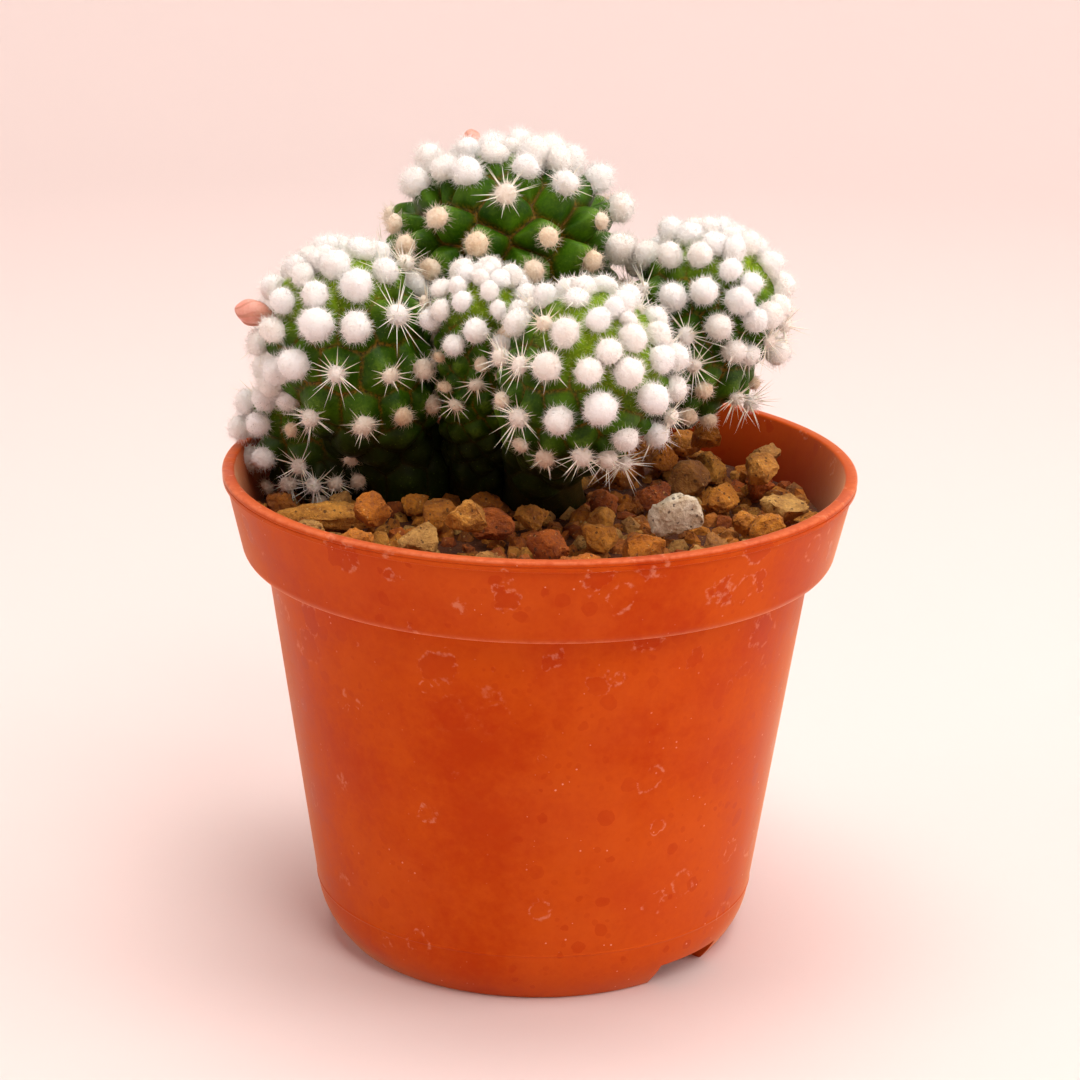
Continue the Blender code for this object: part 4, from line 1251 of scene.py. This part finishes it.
# Overlapping petals wound round a pointed bud
def makeBud(name, lines, finish):
    spec, shape = buds[name], budShape
    stem = lines[spec["stem"]]
    out = Vector(spec["out"]).normalized()
    rise = stem.lean * out.dot(stem.lean)
    radius, cap = stem.spec["radius"], stem.spec["cap"]
    normal = ((out - rise) / radius + rise / cap).normalized()
    seat = stem.head + (out - rise) * radius + rise * cap - normal * shape["seat"]
    turned = normal.to_track_quat("Z", "Y")
    rings, facets = shape["rings"], shape["facets"]
    vertices, petals = [], []
    for ring in range(1, rings):
        up = ring / rings
        swell = math.sin(math.pi * (1 - up) ** 0.72) ** 0.85 * (1 - 0.18 * up)
        for facet in range(facets):
            angle = math.tau * facet / facets
            wound = angle / math.tau * shape["petals"] + up * shape["twist"] * 2 + 0.15 * math.sin(7 * up)
            wound %= 1
            lap = shape["overlap"] * (wound**1.5) * min(1, 3 * up) * min(1, 4 * (1 - up))
            away = shape["radius"] * swell * (1 - shape["overlap"] * 0.6 + lap)
            vertices.append(Vector((away * math.cos(angle), away * math.sin(angle), shape["length"] * up)))
            petals.append(abs(wound - 0.5) * 2)
    faces = []
    for ring in range(rings - 2):
        for facet in range(facets):
            right = (facet + 1) % facets
            faces.append((ring * facets + facet, ring * facets + right,
                          (ring + 1) * facets + right, (ring + 1) * facets + facet))
    low, high = len(vertices), len(vertices) + 1
    vertices += [Vector((0, 0, 0)), Vector((0, 0, shape["length"]))]
    petals += [0, 0]
    last = (rings - 2) * facets
    for facet in range(facets):
        right = (facet + 1) % facets
        faces.append((low, right, facet))
        faces.append((high, last + facet, last + right))
    mesh = bpy.data.meshes.new(name + "_petals")
    mesh.from_pydata([tuple(turned @ v + seat) for v in vertices], [], faces)
    setAttribute(mesh, "petal", petals)
    mesh.shade_smooth()
    mesh.materials.append(finish)
    bud = makeObject(name + "_petals", mesh)
    keepPiece(bud, "bud", name)


gravel = {
    "shades": [(0.36, 0.080, 0.003), (0.60, 0.20, 0.008), (0.78, 0.38, 0.060), (0.44, 0.070, 0.003),
               (0.68, 0.26, 0.016), (0.30, 0.085, 0.005), (0.84, 0.50, 0.14)],
    # the bed shows between the grains, kept dark as painted shade in the gaps
    "bedInPaintedShade": [(0.14, 0.035, 0.003), (0.26, 0.085, 0.008), (0.20, 0.060, 0.005)],
    "paleShades": [(0.90, 0.76, 0.54), (1.0, 0.93, 0.78)],
    "cuts": 2,  # times each facet of a stone is divided
    "flats": 14,  # broken off each stone
    "flatness": 0.92,  # 1 is a true plane
    "flatDepth": (0.60, 0.92),  # where they lie, of the way out from the middle
    "chosenDepth": {"long_stone": (0.80, 0.98), "pale_stone": (0.62, 0.84)},
    "lumps": 0.36 * mm,
    "grit": 0.22 * mm,
    "fillPitch": 2.0 * mm,  # between the small grains under and between the stones
    "fillRadius": (1.1 * mm, 2.6 * mm),
}


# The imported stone, divided finely, with flats broken off it and given lumps and grit
def roughStone(name, seed):
    bm = bmesh.new()
    bm.from_mesh(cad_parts[name].data)
    bmesh.ops.remove_doubles(bm, verts=bm.verts, dist=0.000002)
    for cut in range(gravel["cuts"]):
        bmesh.ops.subdivide_edges(bm, edges=bm.edges, cuts=1, use_grid_fill=True)
        bmesh.ops.triangulate(bm, faces=bm.faces)
    middle = sum((v.co for v in bm.verts), Vector()) / len(bm.verts)
    rng = random.Random(seed)
    for flat in range(gravel["flats"]):
        way = Vector([rng.gauss(0, 1) for axis in range(3)]).normalized()
        depth = rng.uniform(*gravel["chosenDepth"].get(name, gravel["flatDepth"]))
        reach = max((v.co - middle).dot(way) for v in bm.verts) * depth
        for vertex in bm.verts:
            over = (vertex.co - middle).dot(way) - reach
            if over > 0:
                vertex.co -= way * over * gravel["flatness"]
    bm.normal_update()
    offset = Vector((seed * 7.3, seed * 3.1, seed * 1.7))
    moves = []
    for vertex in bm.verts:
        place = vertex.co / mm
        lump = noise.noise(place * 0.55 + offset)
        ridge = 1 - 2 * abs(noise.noise(place * 1.3 + offset))
        grit = noise.fractal(place * 2.8 + offset, 1.0, 2.0, 3)
        out = gravel["lumps"] * (lump * 0.9 + (ridge - 0.6) * 0.4) + gravel["grit"] * grit
        moves.append(vertex.normal * out)
    for vertex, move in zip(bm.verts, moves):
        vertex.co += move
    mesh = bpy.data.meshes.new(name + "_rough")
    bm.to_mesh(mesh)
    bm.free()
    return mesh


def joinMeshes(name, meshes, tints):
    vertices, faces, tintOf = [], [], []
    for mesh, tint in zip(meshes, tints):
        start = len(vertices)
        vertices += [tuple(v.co) for v in mesh.vertices]
        faces += [tuple(start + i for i in p.vertices) for p in mesh.polygons]
        tintOf += [tint] * len(mesh.vertices)
        bpy.data.meshes.remove(mesh)
    made = bpy.data.meshes.new(name)
    made.from_pydata(vertices, [], faces)
    setAttribute(made, "tint", tintOf)
    return made


# Small broken grains strewn over the bed
def makeFillTree():
    tree, start, end = newGroup("gravelGrains", "GeometryNodeTree", [
        ("Geometry", "NodeSocketGeometry", None), ("Pitch", "NodeSocketFloat", gravel["fillPitch"]),
        ("Smallest", "NodeSocketFloat", gravel["fillRadius"][0]),
        ("Largest", "NodeSocketFloat", gravel["fillRadius"][1]),
        ("Seed", "NodeSocketInt", 0), ("Material", "NodeSocketMaterial", None),
    ], [("Geometry", "NodeSocketGeometry")])
    tree.is_modifier = True
    sown = add(tree, "GeometryNodeDistributePointsOnFaces", {
        "Mesh": start.outputs["Geometry"], "Distance Min": start.outputs["Pitch"],
        "Density Max": 4.0e5, "Seed": start.outputs["Seed"]}, distribute_method="POISSON")
    grain = add(tree, "GeometryNodeMeshIcoSphere", {"Radius": 1.0, "Subdivisions": 1})
    size = add(tree, "FunctionNodeRandomValue", {
        "Min": start.outputs["Smallest"], "Max": start.outputs["Largest"], "Seed": 1}, data_type="FLOAT")
    squash = add(tree, "FunctionNodeRandomValue", {
        "Min": (0.8, 0.6, 0.5), "Max": (1.2, 0.95, 0.8), "Seed": 2}, data_type="FLOAT_VECTOR")
    scale = add(tree, "ShaderNodeVectorMath", {0: squash.outputs[0], "Scale": size}, operation="SCALE")
    turned = add(tree, "FunctionNodeRandomValue", {
        "Max": (math.tau, math.tau, math.tau), "Seed": 3}, data_type="FLOAT_VECTOR")
    tint = add(tree, "FunctionNodeRandomValue", {"Seed": 4}, data_type="FLOAT")
    marked = add(tree, "GeometryNodeStoreNamedAttribute", {
        "Geometry": sown.outputs["Points"], "Name": "tint", "Value": tint},
        data_type="FLOAT", domain="POINT")
    grains = add(tree, "GeometryNodeInstanceOnPoints", {
        "Points": marked, "Instance": grain.outputs["Mesh"], "Rotation": turned.outputs[0], "Scale": scale})
    loose = add(tree, "GeometryNodeRealizeInstances", {0: grains})
    lumps = add(tree, "ShaderNodeTexNoise", {"Scale": 620.0, "Detail": 2.0})
    centred = add(tree, "ShaderNodeVectorMath", {0: lumps.outputs["Color"], 1: (0.5, 0.5, 0.5)},
                  operation="SUBTRACT")
    shift = add(tree, "ShaderNodeVectorMath", {0: centred, "Scale": 1.4 * mm}, operation="SCALE")
    broken = add(tree, "GeometryNodeSetPosition", {"Geometry": loose, "Offset": shift})
    flat = add(tree, "GeometryNodeSetShadeSmooth", {0: broken, "Shade Smooth": False})
    painted = add(tree, "GeometryNodeSetMaterial", {
        "Geometry": flat, "Material": start.outputs["Material"]})
    feed(tree, end.inputs["Geometry"], painted)
    return tree


# The upward faces of the gravel bed, as the ground for the grains
def bedSurface():
    bm = bmesh.new()
    bm.from_mesh(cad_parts["gravel_bed"].data)
    bmesh.ops.remove_doubles(bm, verts=bm.verts, dist=0.000002)
    bm.normal_update()
    unseen = [f for f in bm.faces if f.normal.z < 0.9 or f.calc_center_median().z < bedTop - mm]
    bmesh.ops.delete(bm, geom=unseen, context="FACES")
    mesh = bpy.data.meshes.new("gravel_grains")
    bm.to_mesh(mesh)
    bm.free()
    return mesh


def makeGravel():
    rng = random.Random(5)
    ochre = makeStoneFinish("ochre gravel", gravel["shades"], 320.0)
    pale = makeStoneFinish("pale gravel", gravel["paleShades"], 500.0, (0.62, 0.50, 0.36, 1))
    names = sorted(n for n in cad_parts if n.startswith("stone_"))
    groups = {
        "loose_stones": (names, ochre, "gravel"),
        "long_stone_rough": (["long_stone"], ochre, "gravel"),
        "pale_stone_rough": (["pale_stone"], pale, "pale_gravel"),
    }
    for pieceName, (members, finish, slotName) in groups.items():
        meshes = [roughStone(name, index + 1) for index, name in enumerate(members)]
        tints = [rng.random() for name in members]
        thing = makeObject(pieceName, joinMeshes(pieceName, meshes, tints))
        thing.data.materials.append(finish)
        thing.data.shade_smooth()
        thing.data.set_sharp_from_angle(angle=math.radians(48))
        keepPiece(thing, slotName, *members)
    grains = makeObject("gravel_grains", bedSurface())
    runTree(makeFillTree(), grains, {"Seed": 2, "Material": ochre})
    keepPiece(grains, "gravel")
    bed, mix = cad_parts["gravel_bed"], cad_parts["potting_mix"]
    # painted shade: the bed between the grains gets dark gravel colours
    bed.data.materials.clear()
    bed.data.materials.append(makeStoneFinish("packed gravel", gravel["bedInPaintedShade"], 420.0))
    mix.data.materials.clear()
    mix.data.materials.append(makePeat())
    print(f"gravel: {len(names)} stones, {len(grains.data.polygons)} faces of grains")


makeCamera()
makeLamps()
makeFloor()
print("room ready")
makePot()
print("pot ready")
stemLines = makePlant()
budFinish = makeBudFinish()
for budName in buds:
    makeBud(budName, stemLines, budFinish)
print("plant ready")
makeGravel()
scene.view_settings.view_transform = "Standard"
